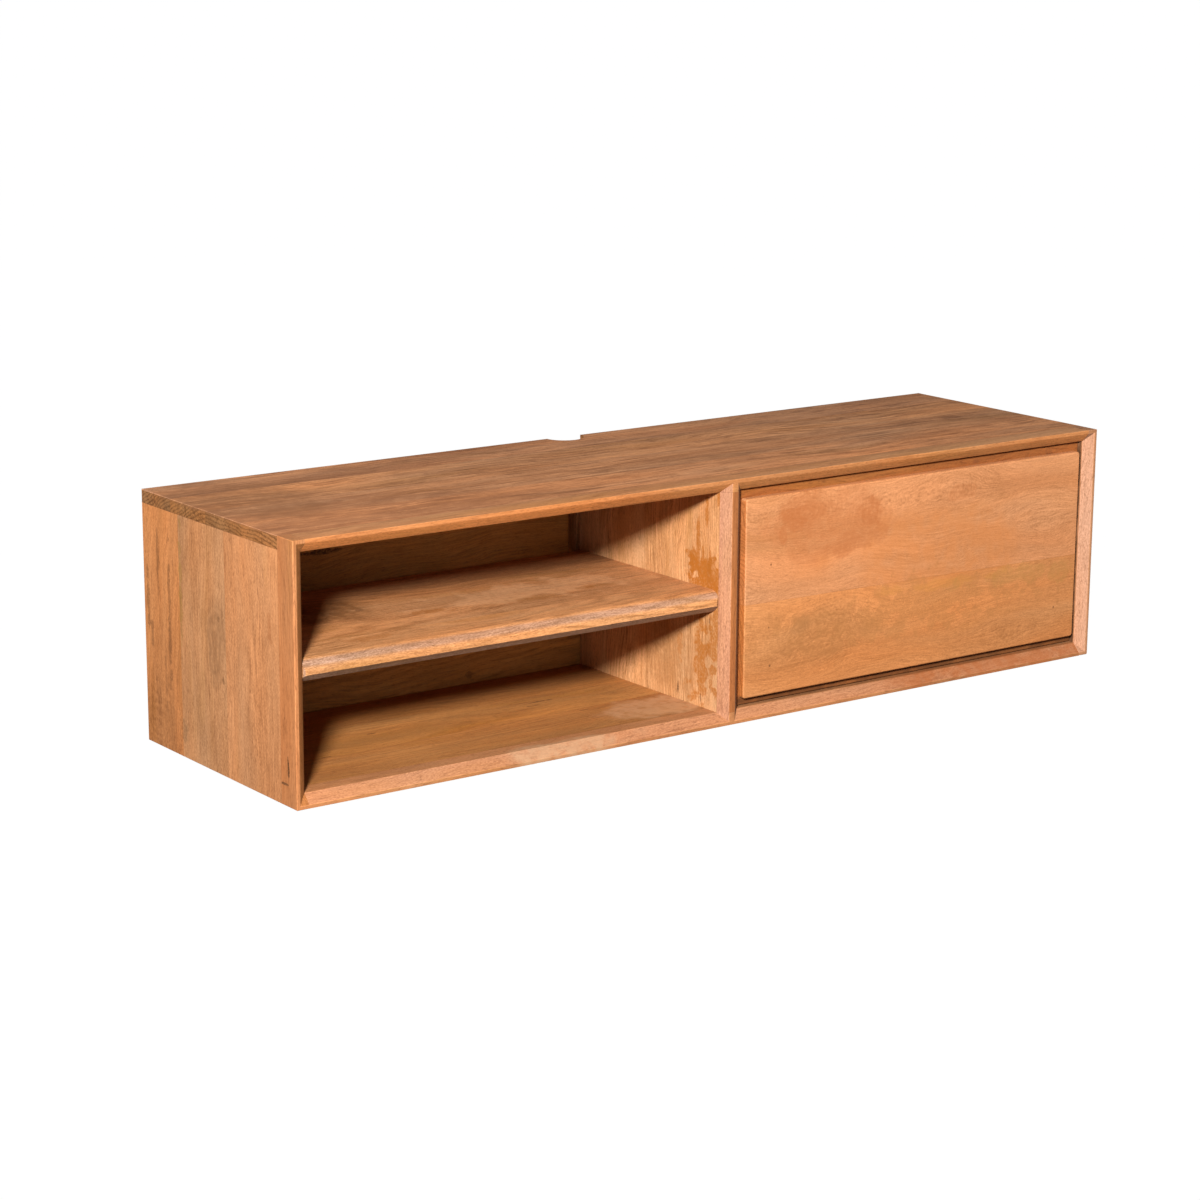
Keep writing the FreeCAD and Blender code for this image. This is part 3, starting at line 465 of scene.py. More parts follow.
top_rail_finish = timber(
    "top_rail_finish", "X", "Y", (0.614, 0.242, 0.083), (0.363, 0.129, 0.040), Seed=11.7, Rings=0.2,
    Blotch=1.0, Streak=0.5, Lines=0.4, Golden=0.2, Pink=(1.22, 1.18, 1.06),
    crown=(0.90, 1.03, 1.25))
top_rail = eased_board("top_rail", "case", top_rail_finish, 0.0009)
refinish(top_rail, centre_stile_finish, lambda normal: 0.4 < abs(normal.x) < 0.9)


# Bottom rail: the same along the bottom, a redder board. It butts against the stiles, so its
# end joints show as upright hairlines. Under the drawer it is painted dark, a painted shade.

bottom_rail_finish = timber(
    "bottom_rail_finish", "X", "Z", (0.472, 0.208, 0.085), (0.282, 0.109, 0.04), Seed=14.2, Rings=0.2,
    Blotch=1.0, Streak=0.5, Lines=0.3, Golden=0.12, Pink=(1.03, 1.05, 1.24), marks=[
        # painted shade along the step under the drawer
        mark((351, -181, 18), (420, 6, 5), PAINTED_GAP_SHADE, 0.4, 0.1, 6),
        mark((-265, -192, 9), (130, 20, 30), (0.44, 0.27, 0.155), 0.55, 0.6, 14),
        mark((560, -192, 9), (300, 20, 30), (0.33, 0.092, 0.022), 0.60, 0.5, 12)])
bottom_rail = eased_board("bottom_rail", "case", bottom_rail_finish, 0.0009)
# Its mitred faces take the centre stile's finish, with the painted sheen of its bevels.
refinish(bottom_rail, centre_stile_finish, lambda normal: 0.4 < abs(normal.x) < 0.9)


# Top panel: four boards glued edge to edge, grain along the case, with a round notch for cables
# in the rear edge. Light and oil have browned it, and its sawn ends show end grain.

top_panel_finish = timber(
    "top_panel_finish", "X", "Y", (0.619, 0.284, 0.129), (0.278, 0.120, 0.055), Seed=20.6,
    joints=(-0.070, 0.022, 0.118), Rings=0.22, Blotch=1.5, Streak=0.9, Lines=0.6, Fibre=0.9,
    sheen=0.12, Fleck=0.5, Dash=0.45, Golden=0.15, Ripple=0.14, End=(0.55, 0.53, 0.42),
    boards=[(1.04, 1.0, 0.96), (0.92, 0.93, 0.94), (1.03, 1.03, 1.0), (0.97, 0.98, 1.02)], marks=[
        mark((-540, -100, 350), (300, 120, 5), (0.24, 0.095, 0.042), 0.50, 0.3, 9),
        mark((-640, 60, 350), (150, 170, 5), (0.22, 0.095, 0.042), 0.55, 0.4, 10)])
eased_board("top_panel", "case", top_panel_finish, 0.0009, (-0.7, 0.2, None), 0.0025)


# Bottom panel: the floor of the case, three boards glued edge to edge. The grain is long and
# straight, with a few dark dashes, and one board is paler towards the divider.

DASH = (0.05, 0.02, 0.008)
bottom_panel_finish = timber(
    "bottom_panel_finish", "X", "Y", (0.53, 0.222, 0.064), (0.250, 0.098, 0.029), Seed=26.9,
    joints=(-0.0585, 0.052), Lean=0.02, Rings=0.2, Spacing=0.006, Blotch=1.4, Lines=0.35, Fleck=0.2,
    boards=[(0.95, 0.93, 0.92), (1.04, 1.05, 1.0), (0.93, 0.95, 0.95)], marks=[
        mark((-60, -115, 18), (110, 50, 5), (0.57, 0.31, 0.16), 0.60, 0.5, 14),
        mark((-500, -30, 18), (150, 45, 5), (0.36, 0.15, 0.035), 0.35, 0.8, 14),
        mark((-467, -4, 18), (10, 2.0, 5), DASH, 0.9, 0.5),
        mark((-576, -66, 18), (13, 1.8, 5), DASH, 0.7, 0.5),
        mark((-184, 1, 18), (22, 2.4, 5), DASH, 0.95, 0.7),
        mark((-160, -71, 18), (10, 1.6, 5), DASH, 0.7, 0.5),
        mark((-205, -12, 18), (16, 1.6, 5), DASH, 0.7, 0.6)])
eased_board("bottom_panel", "case", bottom_panel_finish, 0.0006)


# Left side panel: three upright boards. The rear one is orange with dark wavy streaks, the
# middle one greyer with a brown arched figure, and the front one straight, with a reddish fleck.

STREAK = (0.11, 0.045, 0.016)
left_side_finish = timber(
    "left_side_finish", "Z", "Y", (0.585, 0.270, 0.116), (0.288, 0.119, 0.045), Seed=31.3,
    joints=(-0.0245, 0.0985), Rings=0.2, Streak=0.35, Lines=0.28, Fibre=1.0, Speckle=1.2,
    Ripple=0.10, Golden=0.25,
    boards=[(0.98, 0.96, 0.96), (0.97, 1.02, 1.07), (1.05, 0.92, 0.75)], marks=[
        mark((-700, 187, 200), (6, 4, 44), STREAK, 0.55, 1.2, 50),
        mark((-700, 178, 150), (6, 4, 26), STREAK, 0.5, 1.2, 50),
        mark((-700, 128, 190), (6, 5, 95), STREAK, 0.55, 1.2, 50),
        mark((-700, 158, 262), (6, 4, 55), STREAK, 0.5, 1.2, 50),
        mark((-700, 141, 96), (6, 4, 60), STREAK, 0.3, 1.3, 50),
        mark((-700, 95, 226), (6, 5, 95), (0.24, 0.13, 0.02), 0.5, 1.0, 60),
        mark((-700, 170, 30), (6, 75, 70), STREAK, 0.15, 0.4, 20, 0.14, 5.0),
        mark((-700, 92, 36), (6, 11, 17), (0.13, 0.07, 0.03), 0.45, 0.9, 50),
        mark((-700, 5, 178), (6, 30, 70), (0.25, 0.12, 0.052), 0.60, 0.25, 26, 0.20, 3.2),
        mark((-700, -6, 211), (6, 4, 5), STREAK, 0.5, 0.6, 120),
        mark((-700, -16, 130), (6, 3.5, 6), STREAK, 0.7, 0.5, 120),
        mark((-700, -139, 226), (6, 7, 24), (0.26, 0.085, 0.025), 0.55, 0.6, 60)])
eased_board("left_side_panel", "case", left_side_finish, 0.0009, (-0.7, 0.2, None), 0.0025)


# Right side panel: the same at the other end, plainer, its lower edge rounded over like the
# stile in front of it.

right_side_finish = timber(
    "right_side_finish", "Z", "Y", (0.58, 0.262, 0.11), (0.30, 0.124, 0.047), Seed=37.8,
    joints=(-0.035, 0.084), Rings=0.25, Blotch=1.2, Streak=0.35, Lines=0.28, Fibre=1.0,
    Speckle=1.1, Golden=0.25, boards=[(1.0, 1.0, 1.0), (0.94, 0.92, 0.88), (0.98, 1.0, 1.02)])
eased_board("right_side_panel", "case", right_side_finish, 0.0009, (0.7, None, 0.0), 0.006)


# Centre divider: upright boards between the bays, pale, with an arched figure at the rear and
# golden-brown spalted streaks down the front edge. The figure runs on over the stile's side.

SPALT = (0.34, 0.108, 0.013)
divider_finish = timber(
    "divider_finish", "Z", "Y", (0.66, 0.340, 0.155), (0.35, 0.158, 0.055), Seed=43.1,
    joints=(-0.128,), Rings=0.25, Spacing=0.004, Blotch=0.9, Streak=0.4, Fibre=1.3, Speckle=1.0,
    Golden=0.3, Fleck=0.2, boards=[(1.05, 1.05, 1.08), (1.0, 1.0, 1.0)], marks=[
        mark((-15, -90, 84), (8, 95, 62), (0.30, 0.125, 0.04), 0.44, 0.5, 15),
        mark((-15, -160, 300), (8, 5, 26), SPALT, 0.9, 0.5, 110),
        mark((-15, -141, 255), (8, 5.5, 46), SPALT, 0.9, 0.5, 110),
        mark((-15, -152, 240), (8, 3.5, 14), SPALT, 0.85, 0.5, 130),
        mark((-15, -168, 232), (8, 4, 20), SPALT, 0.85, 0.6, 130),
        mark((-15, -158, 206), (8, 42, 34), SPALT, 1.0, 1.0, 60),
        mark((-15, -128, 226), (8, 14, 20), SPALT, 0.9, 1.0, 70),
        mark((-15, -163, 212), (8, 30, 32), SPALT, 0.8, 0.7, 40),
        mark((-15, -185, 322), (8, 4, 14), SPALT, 0.85, 0.5, 110),
        mark((-15, -100, 100), (8, 7, 24), SPALT, 0.5, 1.4, 70),
        mark((-15, -150, 75), (8, 24, 60), SPALT, 0.8, 1.3, 50),
        mark((-15, -180, 115), (8, 14, 80), SPALT, 0.8, 1.2, 55),
        mark((-15, -60, 110), (8, 30, 42), (0.30, 0.15, 0.06), 0.25, 0.6, 30, 0.22),
        mark((-15, -99, 34), (8, 2.0, 10), DASH, 0.9, 0.6),
        mark((-15, -151, 28), (8, 2.0, 8), DASH, 0.6, 0.8),
        mark((-15, -169, 147), (8, 2.0, 6), DASH, 0.5, 0.6)])
eased_board("centre_divider", "case", divider_finish, 0.0005)
refinish(centre_stile, divider_finish, lambda normal: normal.x < -0.9)


# Runner packer: a plain batten screwed to the divider. It brings the left runner flush with the
# centre stile, so that the drawer clears it.

drawer_wood_finish = timber(
    "drawer_wood_finish", "Y", "Z", (0.589, 0.325, 0.162), (0.34, 0.168, 0.074), Seed=51.5, Rings=0.25,
    Blotch=1.0, Lines=0.4, Golden=0.15)
eased_board("runner_packer", "case", drawer_wood_finish, 0.0008)


# Back panels: thin boards tongued into grooves in the case, grain along the case. The left one
# has a cut-out for cables beside the divider, a knotty dark streak at its top and a small knot.

left_back_finish = timber(
    "left_back_finish", "X", "Z", (0.54, 0.290, 0.082), (0.234, 0.113, 0.028), Seed=57.2,
    joints=(0.120, 0.245), Rings=0.25, Spacing=0.006, Blotch=1.5, Lines=0.4, Golden=0.25, marks=[
        mark((-466, 138, 244), (42, 6, 5), (0.035, 0.015, 0.007), 0.85, 0.9, 45),
        mark((-211, 138, 32), (10, 6, 6), (0.08, 0.035, 0.012), 0.5, 0.8, 60, 0.2, 3.0)])
right_back_finish = timber(
    "right_back_finish", "X", "Z", (0.457, 0.238, 0.084), (0.22, 0.105, 0.034), Seed=61.9,
    joints=(0.095, 0.220), Spacing=0.006, Blotch=1.4, Lines=0.4, Golden=0.3, Fleck=0.4)
eased_board("back_panel_left", "case", left_back_finish, 0.0006)
eased_board("back_panel_right", "case", right_back_finish, 0.0006)


# Shelf: a thick board of the left bay, dowelled between the side and the divider. Its nose is
# rounded above and chamfered below. Its left end is painted darker, a painted shadow of the side,
# and a painted sheen lies pale across its middle.

shelf_finish = timber(
    "shelf_finish", "X", "Y", (0.65, 0.305, 0.127), (0.33, 0.138, 0.047), Seed=67.4,
    joints=(-0.120, 0.020), Rings=0.45, Blotch=1.4, Lines=0.35, Fibre=1.1, Speckle=1.2, Fleck=0.40,
    Ripple=0.15, Dash=0.15, boards=[(1.05, 1.04, 1.02), (1.0, 1.0, 1.0), (0.93, 0.92, 0.90)],
    Pink=(0.68, 0.82, 1.28), marks=[
        # a painted shadow of the left side at the left end, then a painted pale sheen in the middle
        mark((-560, 20, 192), (110, 80, 5), (0.18, 0.070, 0.020), 0.85, 0.4, 16),
        mark((-230, -40, 192), (190, 50, 5), (0.74, 0.40, 0.20), 0.40, 0.9, 22),
        mark((-409, -60, 192), (42, 13, 5), SPALT, 0.55, 1.2, 40),
        mark((-548, -139, 192), (34, 10, 5), SPALT, 0.35, 1.2, 45),
        mark((-155, -63, 192), (36, 9, 5), SPALT, 0.45, 1.2, 45),
        mark((-482, -1, 192), (9, 7, 5), STREAK, 0.5, 0.7, 60, 0.2, 3.0),
        mark((-335, -169, 192), (12, 1.8, 5), DASH, 0.5, 0.6),
        mark((-300, -120, 192), (16, 1.5, 5), DASH, 0.35, 0.8)])
eased_board("shelf", "case", shelf_finish, 0.0005)


# Hanging rails: two battens screwed up into the top behind the back panels, their lower edges
# cut at 45 degrees. They hook over the wall rail, which is screwed to the wall.

hanging_rail_finish = timber(
    "hanging_rail_finish", "X", "Z", (0.504, 0.266, 0.125), (0.276, 0.131, 0.057), Seed=73.6,
    Blotch=1.1, Lines=0.4, Golden=0.2)
for rail in ("hanging_rail_left", "hanging_rail_right", "wall_rail"):
    eased_board(rail, "case", hanging_rail_finish, 0.0007)


# Drawer sub-front: the reddish board behind the proud panel. It fills the bay with an even gap
# all round, and the drawer sides are dowelled to it. The step under the panel is painted dark, a
# painted shade, and its left edge is painted nearly black, a painted shadow in the gap.

# Nearly black, a painted shadow deep in the gap.
PAINTED_DEEP_SHADOW = (0.025, 0.010, 0.004)
subfront_finish = timber(
    "subfront_finish", "X", "Z", (0.355, 0.120, 0.032), (0.195, 0.058, 0.014), Seed=79.3,
    # The ends are darker than plain end grain, a painted shade for the gaps beside the drawer.
    Blotch=1.1, Lines=0.4, Golden=0.25, End=(0.50, 0.44, 0.40), marks=[
        # painted shade under the panel, and a nearly black painted shadow along the left edge
        mark((351, -180, 24), (2000, 5, 10), PAINTED_GAP_SHADE, 0.65, 0.1, 6),
        mark((22, -179, 175), (5.5, 5.5, 2000), PAINTED_DEEP_SHADOW, 1.0, 0.05, 6),
        mark((22, -179, 175), (4.8, 4.8, 2000), PAINTED_DEEP_SHADOW, 1.0, 0.05, 11),
        mark((471, -180, 322), (10, 6, 6), (0.16, 0.05, 0.018), 0.55, 0.7, 60),
        mark((618, -180, 321), (7, 6, 5), (0.18, 0.06, 0.02), 0.45, 0.7, 60)])
eased_board("drawer_subfront", "drawer", subfront_finish, 0.0006)


# Drawer front panel: two boards glued along a slightly sloping joint, corners rounded and edges
# softened, screwed on from inside. Faint swirls lie round buried knots, and pin knots show.

PIN = (0.11, 0.042, 0.014)
RUDDY = (0.40, 0.125, 0.037)
front_panel_finish = timber(
    "front_panel_finish", "X", "Z", (0.662, 0.272, 0.105), (0.380, 0.147, 0.050), Seed=85.7,
    joints=(0.1665,), Lean=-0.0109, Rings=0.08, Spacing=0.007, Wander=0.05, Fibre=1.1, Streak=0.3,
    Lines=0.25, Ripple=0.16, Golden=0.12, Fleck=0.04, Pore=0.25, Speckle=0.95, Sway=0.02, Drift=0.5,
    End=(0.78, 0.60, 0.40), Pink=(0.95, 0.95, 0.92),
    boards=[(0.95, 0.92, 0.82), (1.01, 1.05, 1.16)], marks=[
        mark((75, -192, 219), (1.8, 6, 2.4), PIN), mark((73, -192, 129), (1.8, 6, 2.0), PIN),
        mark((76, -192, 73), (2.0, 6, 2.0), PIN), mark((631, -192, 82), (1.8, 6, 2.4), PIN),
        mark((380, -192, 205), (230, 30, 80), (0.55, 0.19, 0.052), 0.45, 0.5, 8),
        mark((190, -192, 255), (140, 30, 60), RUDDY, 0.40, 0.6, 12),
        mark((140, -192, 290), (56, 30, 32), RUDDY, 0.45, 0.7, 30),
        mark((138, -192, 287), (70, 30, 42), RUDDY, 0.10, 0.20, 18, 0.11, 8.0),
        mark((112, -192, 284), (22, 30, 20), RUDDY, 0.60, 0.9, 40),
        mark((258, -192, 270), (28, 30, 24), RUDDY, 0.65, 0.8, 30),
        mark((260, -192, 266), (54, 30, 38), RUDDY, 0.10, 0.20, 18, 0.11, 7.0),
        mark((97, -192, 258), (9, 30, 18), RUDDY, 0.60, 0.9, 40),
        mark((240, -192, 232), (60, 30, 20), RUDDY, 0.45, 1.0, 25),
        mark((435, -192, 282), (34, 30, 12), RUDDY, 0.30, 1.0, 30),
        mark((360, -192, 122), (190, 30, 36), (0.36, 0.150, 0.046), 0.42, 1.6, 45, 0.25, 6.0),
        mark((180, -192, 110), (110, 30, 46), (0.36, 0.145, 0.045), 0.45, 1.1, 30, 0.25, 3.0),
        mark((400, -192, 150), (130, 30, 9), (0.50, 0.21, 0.045), 0.35, 1.0, 40),
        mark((560, -192, 140), (120, 30, 16), (0.37, 0.18, 0.05), 0.40, 1.2, 28),
        mark((131, -192, 124), (22, 30, 16), (0.30, 0.13, 0.045), 0.40, 0.5, 50),
        mark((131, -192, 118), (110, 30, 80), (0.36, 0.145, 0.045), 0.10, 0.22, 14, 0.08, 10.0)])
eased_board("drawer_front_panel", "drawer", front_panel_finish, 0.0003)


# Drawer box: two sides and a back in paler plain boards, dowelled together, and a thin plywood
# bottom slid into their grooves.

drawer_back_finish = timber(
    "drawer_back_finish", "X", "Z", (0.589, 0.325, 0.162), (0.34, 0.168, 0.074), Seed=91.2, Rings=0.25,
    Blotch=1.0, Lines=0.4, Golden=0.15)
plywood_finish = timber(
    "plywood_finish", "Y", "X", (0.62, 0.42, 0.245), (0.37, 0.235, 0.125), Seed=95.8, Rings=0.45,
    Spacing=0.016, Pith=0.02, Blotch=0.9, Lines=0.2, Golden=0.08, Fleck=0.15)
for side in ("drawer_side_left", "drawer_side_right"):
    eased_board(side, "drawer", drawer_wood_finish, 0.0008)
eased_board("drawer_back", "drawer", drawer_back_finish, 0.0008)
eased_board("drawer_bottom", "drawer", plywood_finish, 0.0003)


# Drawer runners: rolled steel channels, zinc plated, which slide inside each other. The rolls
# leave faint lines along them, the plating a dull spangle, and the balls a polished track.

worn_metal, given, result = shader_group("worn_metal", {
    "Vector": (0.0, 0.0, 0.0), "Light": WHITE, "Dark": WHITE, "Spangle": 0.5, "Film": 0.5,
    "Polish": 0.3, "Dull": 0.5}, {"Color": "Color", "Height": "Float", "Roughness": "Float"})
t = worn_metal
cells = place(t, "ShaderNodeTexVoronoi", {"Vector": given["Vector"], "Scale": 420.0}).outputs["Color"]
cells = place(t, "ShaderNodeSeparateColor", {0: cells}).outputs[0]
rolled = cloud(t, given["Vector"], (900.0, 14.0, 900.0), 3.0)
smear = cloud(t, given["Vector"], (26.0, 9.0, 26.0), 3.0)
shade = times(t, less(t, cells, 0.5), given["Spangle"], plus=smear)
t.links.new(blended(t, kept_within(t, shade), given["Dark"], given["Light"]), result["Color"])
t.links.new(times(t, rolled, 0.7, plus=times(t, cells, 0.3)), result["Height"])
filmed = times(t, smear, given["Film"], plus=times(t, rolled, 0.5))
rough = times(t, filmed, less(t, given["Dull"], given["Polish"]), plus=given["Polish"])
t.links.new(rough, result["Roughness"])


def metal(name, light, dark, own=None, relief=0.1, **wear):
    """A plated or polished steel. A pattern can follow each small piece's own coordinates."""
    material, tree, shader = new_material(name)
    where = tree.nodes.new("ShaderNodeTexCoord").outputs["Object"]
    if own:
        where = place(tree, "ShaderNodeAttribute", attribute_name=own).outputs["Vector"]
    steel = place(tree, "ShaderNodeGroup", {"Vector": where, "Light": light, "Dark": dark, **wear},
                  node_tree=worn_metal)
    coat(tree, shader, steel, steel.outputs["Color"], relief, 0.0001)
    shader.inputs["Metallic"].default_value = 1.0
    return material


zinc = metal("zinc", (0.66, 0.68, 0.70), (0.44, 0.46, 0.48), Spangle=0.35, Film=0.6, Polish=0.22, Dull=0.55)
cage_steel = metal("cage_steel", (0.46, 0.45, 0.43), (0.26, 0.25, 0.24), Spangle=0.1, Film=1.0,
                   Polish=0.2, Dull=0.5)
SIDES = ("left", "right")
for side in SIDES:
    for channel in ("outer", "middle", "inner"):
        frame["nodes"][f"{side}_runner_{channel}"].material_slots[0].material = zinc
    for cage in ("outer", "inner"):
        frame["nodes"][f"{side}_runner_{cage}_cage"].material_slots[0].material = cage_steel


# Runner balls: hardened steel balls, twelve to a cage, each in its own pocket. They roll between
# the channels and carry the drawer.

def loose_solids(node):
    """The separate solids of a CAD node, each as a list of its points."""
    shape = bmesh.new()
    shape.from_mesh(frame["nodes"][node].data)
    bmesh.ops.remove_doubles(shape, verts=shape.verts, dist=1e-6)
    met, solids = set(), []
    for first in shape.verts:
        if first in met:
            continue
        met.add(first)
        waiting, points = [first], []
        while waiting:
            point = waiting.pop()
            points.append(point.co.copy())
            for edge in point.link_edges:
                other = edge.other_vert(point)
                if other not in met:
                    met.add(other)
                    waiting.append(other)
        solids.append(points)
    shape.free()
    return solids


def long_axis(points):
    """A round solid's middle, the direction of its length with the wider end behind, and its length."""
    low = Vector([min(point[i] for point in points) for i in range(3)])
    high = Vector([max(point[i] for point in points) for i in range(3)])
    size, middle = high - low, (low + high) / 2
    along = max(range(3), key=lambda i: size[i])
    way = Vector([float(i == along) for i in range(3)])

    def width_at(sign):
        end = [point for point in points if (point - middle).dot(way) * sign > size[along] * 0.49]
        return max(((point - middle) - way * (point - middle).dot(way)).length for point in end)
    if width_at(1) > width_at(-1) + 1e-5:
        way = -way
    return middle, way, size[along]


def nodes_for(name, sizes):
    """A tree that takes spots, a material, a seed and named sizes, and gives back a mesh."""
    tree = bpy.data.node_groups.new(name, "GeometryNodeTree")
    sockets = {"Spots": "Geometry", **sizes, "Seed": "Int", "Finish": "Material"}
    for label, kind in sockets.items():
        tree.interface.new_socket(label, in_out="INPUT", socket_type="NodeSocket" + kind)
    tree.interface.new_socket("Mesh", in_out="OUTPUT", socket_type="NodeSocketGeometry")
    return tree, tree.nodes.new("NodeGroupInput").outputs, tree.nodes.new("NodeGroupOutput").inputs


def set_on_spots(tree, shape, given, result):
    """One shape on each spot, turned along the spot's way and twisted by chance, as a real mesh."""
    own = place(tree, "GeometryNodeStoreNamedAttribute", {
        "Geometry": shape, "Name": "own", "Value": place(tree, "GeometryNodeInputPosition").outputs[0]},
        data_type="FLOAT_VECTOR", domain="POINT")
    way = place(tree, "GeometryNodeInputNamedAttribute", {"Name": "way"}, data_type="FLOAT_VECTOR")
    turned = place(tree, "FunctionNodeAlignRotationToVector", {"Vector": way.outputs["Attribute"]}, axis="Z")
    twist = place(tree, "FunctionNodeRandomValue", {"Max": (0.0, 0.0, 2 * pi), "Seed": given["Seed"]},
                  data_type="FLOAT_VECTOR")
    twisted = place(tree, "FunctionNodeRotateRotation", {
        "Rotation": turned.outputs[0], "Rotate By": twist.outputs["Value"]}, rotation_space="LOCAL")
    copies = place(tree, "GeometryNodeInstanceOnPoints", {
        "Points": given["Spots"], "Instance": own.outputs[0], "Rotation": twisted.outputs[0]})
    whole = place(tree, "GeometryNodeRealizeInstances", {"Geometry": copies.outputs[0]})
    coated = place(tree, "GeometryNodeSetMaterial", {
        "Geometry": whole.outputs[0], "Material": given["Finish"]})
    tree.links.new(coated.outputs[0], result["Mesh"])


NODE_BODIES = {node: body for body, nodes in frame["record"]["behaviour"]["bodies"].items() for node in nodes}


def repeated(node, tree, spots, finish, seed=1, **sizes):
    """Runs a tree over the spots of a CAD node, and keeps one plain mesh in the node's place."""
    mesh = bpy.data.meshes.new(node + "_made")
    mesh.from_pydata([spot for spot, way in spots], [], [])
    ways = mesh.attributes.new("way", "FLOAT_VECTOR", "POINT")
    for number, (spot, way) in enumerate(spots):
        ways.data[number].vector = way
    made = set_up(node + "_made", mesh)
    modifier = made.modifiers.new("repeat", "NODES")
    modifier.node_group = tree
    values = {"Finish": finish, "Seed": seed, **sizes}
    for item in tree.interface.items_tree:
        if item.name in values and item.in_out == "INPUT":
            modifier[item.identifier] = values[item.name]
    done = make_plain(made)
    done.materials.clear()
    done.materials.append(finish)
    done.shade_smooth()
    done.set_sharp_from_angle(angle=radians(32))
    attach(made, NODE_BODIES[node])
    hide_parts(node)


ball_tree, given, result = nodes_for("balls", {"Radius": "Float"})
ball = place(ball_tree, "GeometryNodeMeshIcoSphere", {"Radius": given["Radius"], "Subdivisions": 3})
set_on_spots(ball_tree, ball.outputs["Mesh"], given, result)
polished = metal("polished", (0.80, 0.80, 0.80), (0.62, 0.61, 0.60), own="own", relief=0.03, Spangle=0.0,
                 Film=1.0, Polish=0.06, Dull=0.3)
for side in SIDES:
    for cage in ("outer", "inner"):
        node = f"{side}_runner_{cage}_balls"
        spots = [long_axis(points) for points in loose_solids(node)]
        radius = spots[0][2] / 2
        repeated(node, ball_tree, [spot[:2] for spot in spots], polished, Radius=radius)


# Dowels: fluted beech pins, their ends chamfered, glued half into each of two boards. The
# flutes let the glue out as the joint is driven home.

FLUTES = 12
dowel_tree, given, result = nodes_for("dowels", {
    "Radius": "Float", "Length": "Float", "Flute": "Float", "Chamfer": "Float"})
t = dowel_tree
pin = place(t, "GeometryNodeMeshCylinder", {
    "Vertices": 2 * FLUTES, "Side Segments": 24, "Radius": given["Radius"], "Depth": given["Length"]},
    fill_type="TRIANGLE_FAN")
x, y, z = split(t, place(t, "GeometryNodeInputPosition").outputs[0])
angle = reckon(t, "ARCTAN2", y, x)
groove = times(t, less(t, 1.0, reckon(t, "COSINE", times(t, angle, float(FLUTES)))), 0.5)
to_end = less(t, times(t, given["Length"], 0.5), reckon(t, "ABSOLUTE", z))
taper = reckon(t, "MAXIMUM", less(t, given["Chamfer"], to_end), 0.0)
lost = total(t, times(t, groove, given["Flute"]), times(t, taper, 0.7))
slim = less(t, 1.0, reckon(t, "DIVIDE", lost, given["Radius"]))
fluted = place(t, "GeometryNodeSetPosition", {
    "Geometry": pin.outputs["Mesh"], "Position": joined(t, times(t, x, slim), times(t, y, slim), z)})
set_on_spots(t, fluted.outputs[0], given, result)

beech, t, shader = new_material("beech")
own = place(t, "ShaderNodeAttribute", attribute_name="own").outputs["Vector"]
upright = place(t, "ShaderNodeMapping", {"Vector": own, "Rotation": (0.0, pi / 2, 0.0)}).outputs[0]
wood = place(t, "ShaderNodeGroup", {
    "Vector": upright, "Light": (0.66, 0.46, 0.27), "Dark": (0.46, 0.29, 0.15), "Pink": WHITE,
    "Rings": 0.2, "Golden": 0.05, "Fleck": 0.5, "End": WHITE, "Pith": 0.02}, node_tree=solid_timber)
coat(t, shader, wood, wood.outputs["Color"], 0.3, 0.0003)

for seed, node in enumerate(("frame_dowels", "case_dowels", "shelf_dowels", "drawer_dowels")):
    spots = [long_axis(points) for points in loose_solids(node)]
    repeated(node, dowel_tree, [spot[:2] for spot in spots], beech, seed, Radius=0.004, Length=spots[0][2],
             Flute=0.00035, Chamfer=0.0012)


# Screws: zinc plated pan heads with a cross recess, driven by hand. The thread is rolled and
# runs to a point. Those of the runners have a lower head, which clears the channel inside.

HEAD_RINGS = 5
RINGS_TO_A_TURN = 4
screw_tree, given, result = nodes_for("screws", {
    "Length": "Float", "Radius": "Float", "Head Radius": "Float", "Head Height": "Float",
    "Pitch": "Float", "Rings": "Int"})
t = screw_tree
blank = place(t, "GeometryNodeMeshCylinder", {
    "Vertices": 24, "Side Segments": given["Rings"], "Fill Segments": 6, "Radius": 1.0, "Depth": 1.0},
    fill_type="TRIANGLE_FAN")
x, y, z = split(t, place(t, "GeometryNodeInputPosition").outputs[0])
ring = reckon(t, "ROUND", times(t, total(t, z, 0.5), given["Rings"]))

# The head, flat on top and rounded over its edge, takes the first rings.
in_head = reckon(t, "LESS_THAN", ring, HEAD_RINGS + 0.5)
to_top = times(t, ring, -1 / HEAD_RINGS, plus=1.0)
head_z = times(t, times(t, to_top, given["Head Height"]), -1.0)
crown = times(t, reckon(t, "POWER", to_top, 3.0), -0.38, plus=1.0)
head_wide = times(t, crown, given["Head Radius"])

# The cross is pressed into the top, deepest in the middle of its four arms.
arm = reckon(t, "MINIMUM", reckon(t, "ABSOLUTE", x), reckon(t, "ABSOLUTE", y))
reach = reckon(t, "SQRT", total(t, times(t, x, x), times(t, y, y)))
pressed = times(t, between(t, arm, 0.22, 0.08), between(t, reach, 0.9, 0.6))
pressed = times(t, pressed, reckon(t, "LESS_THAN", ring, 0.5))
cross = times(t, times(t, pressed, given["Head Height"]), 0.62)

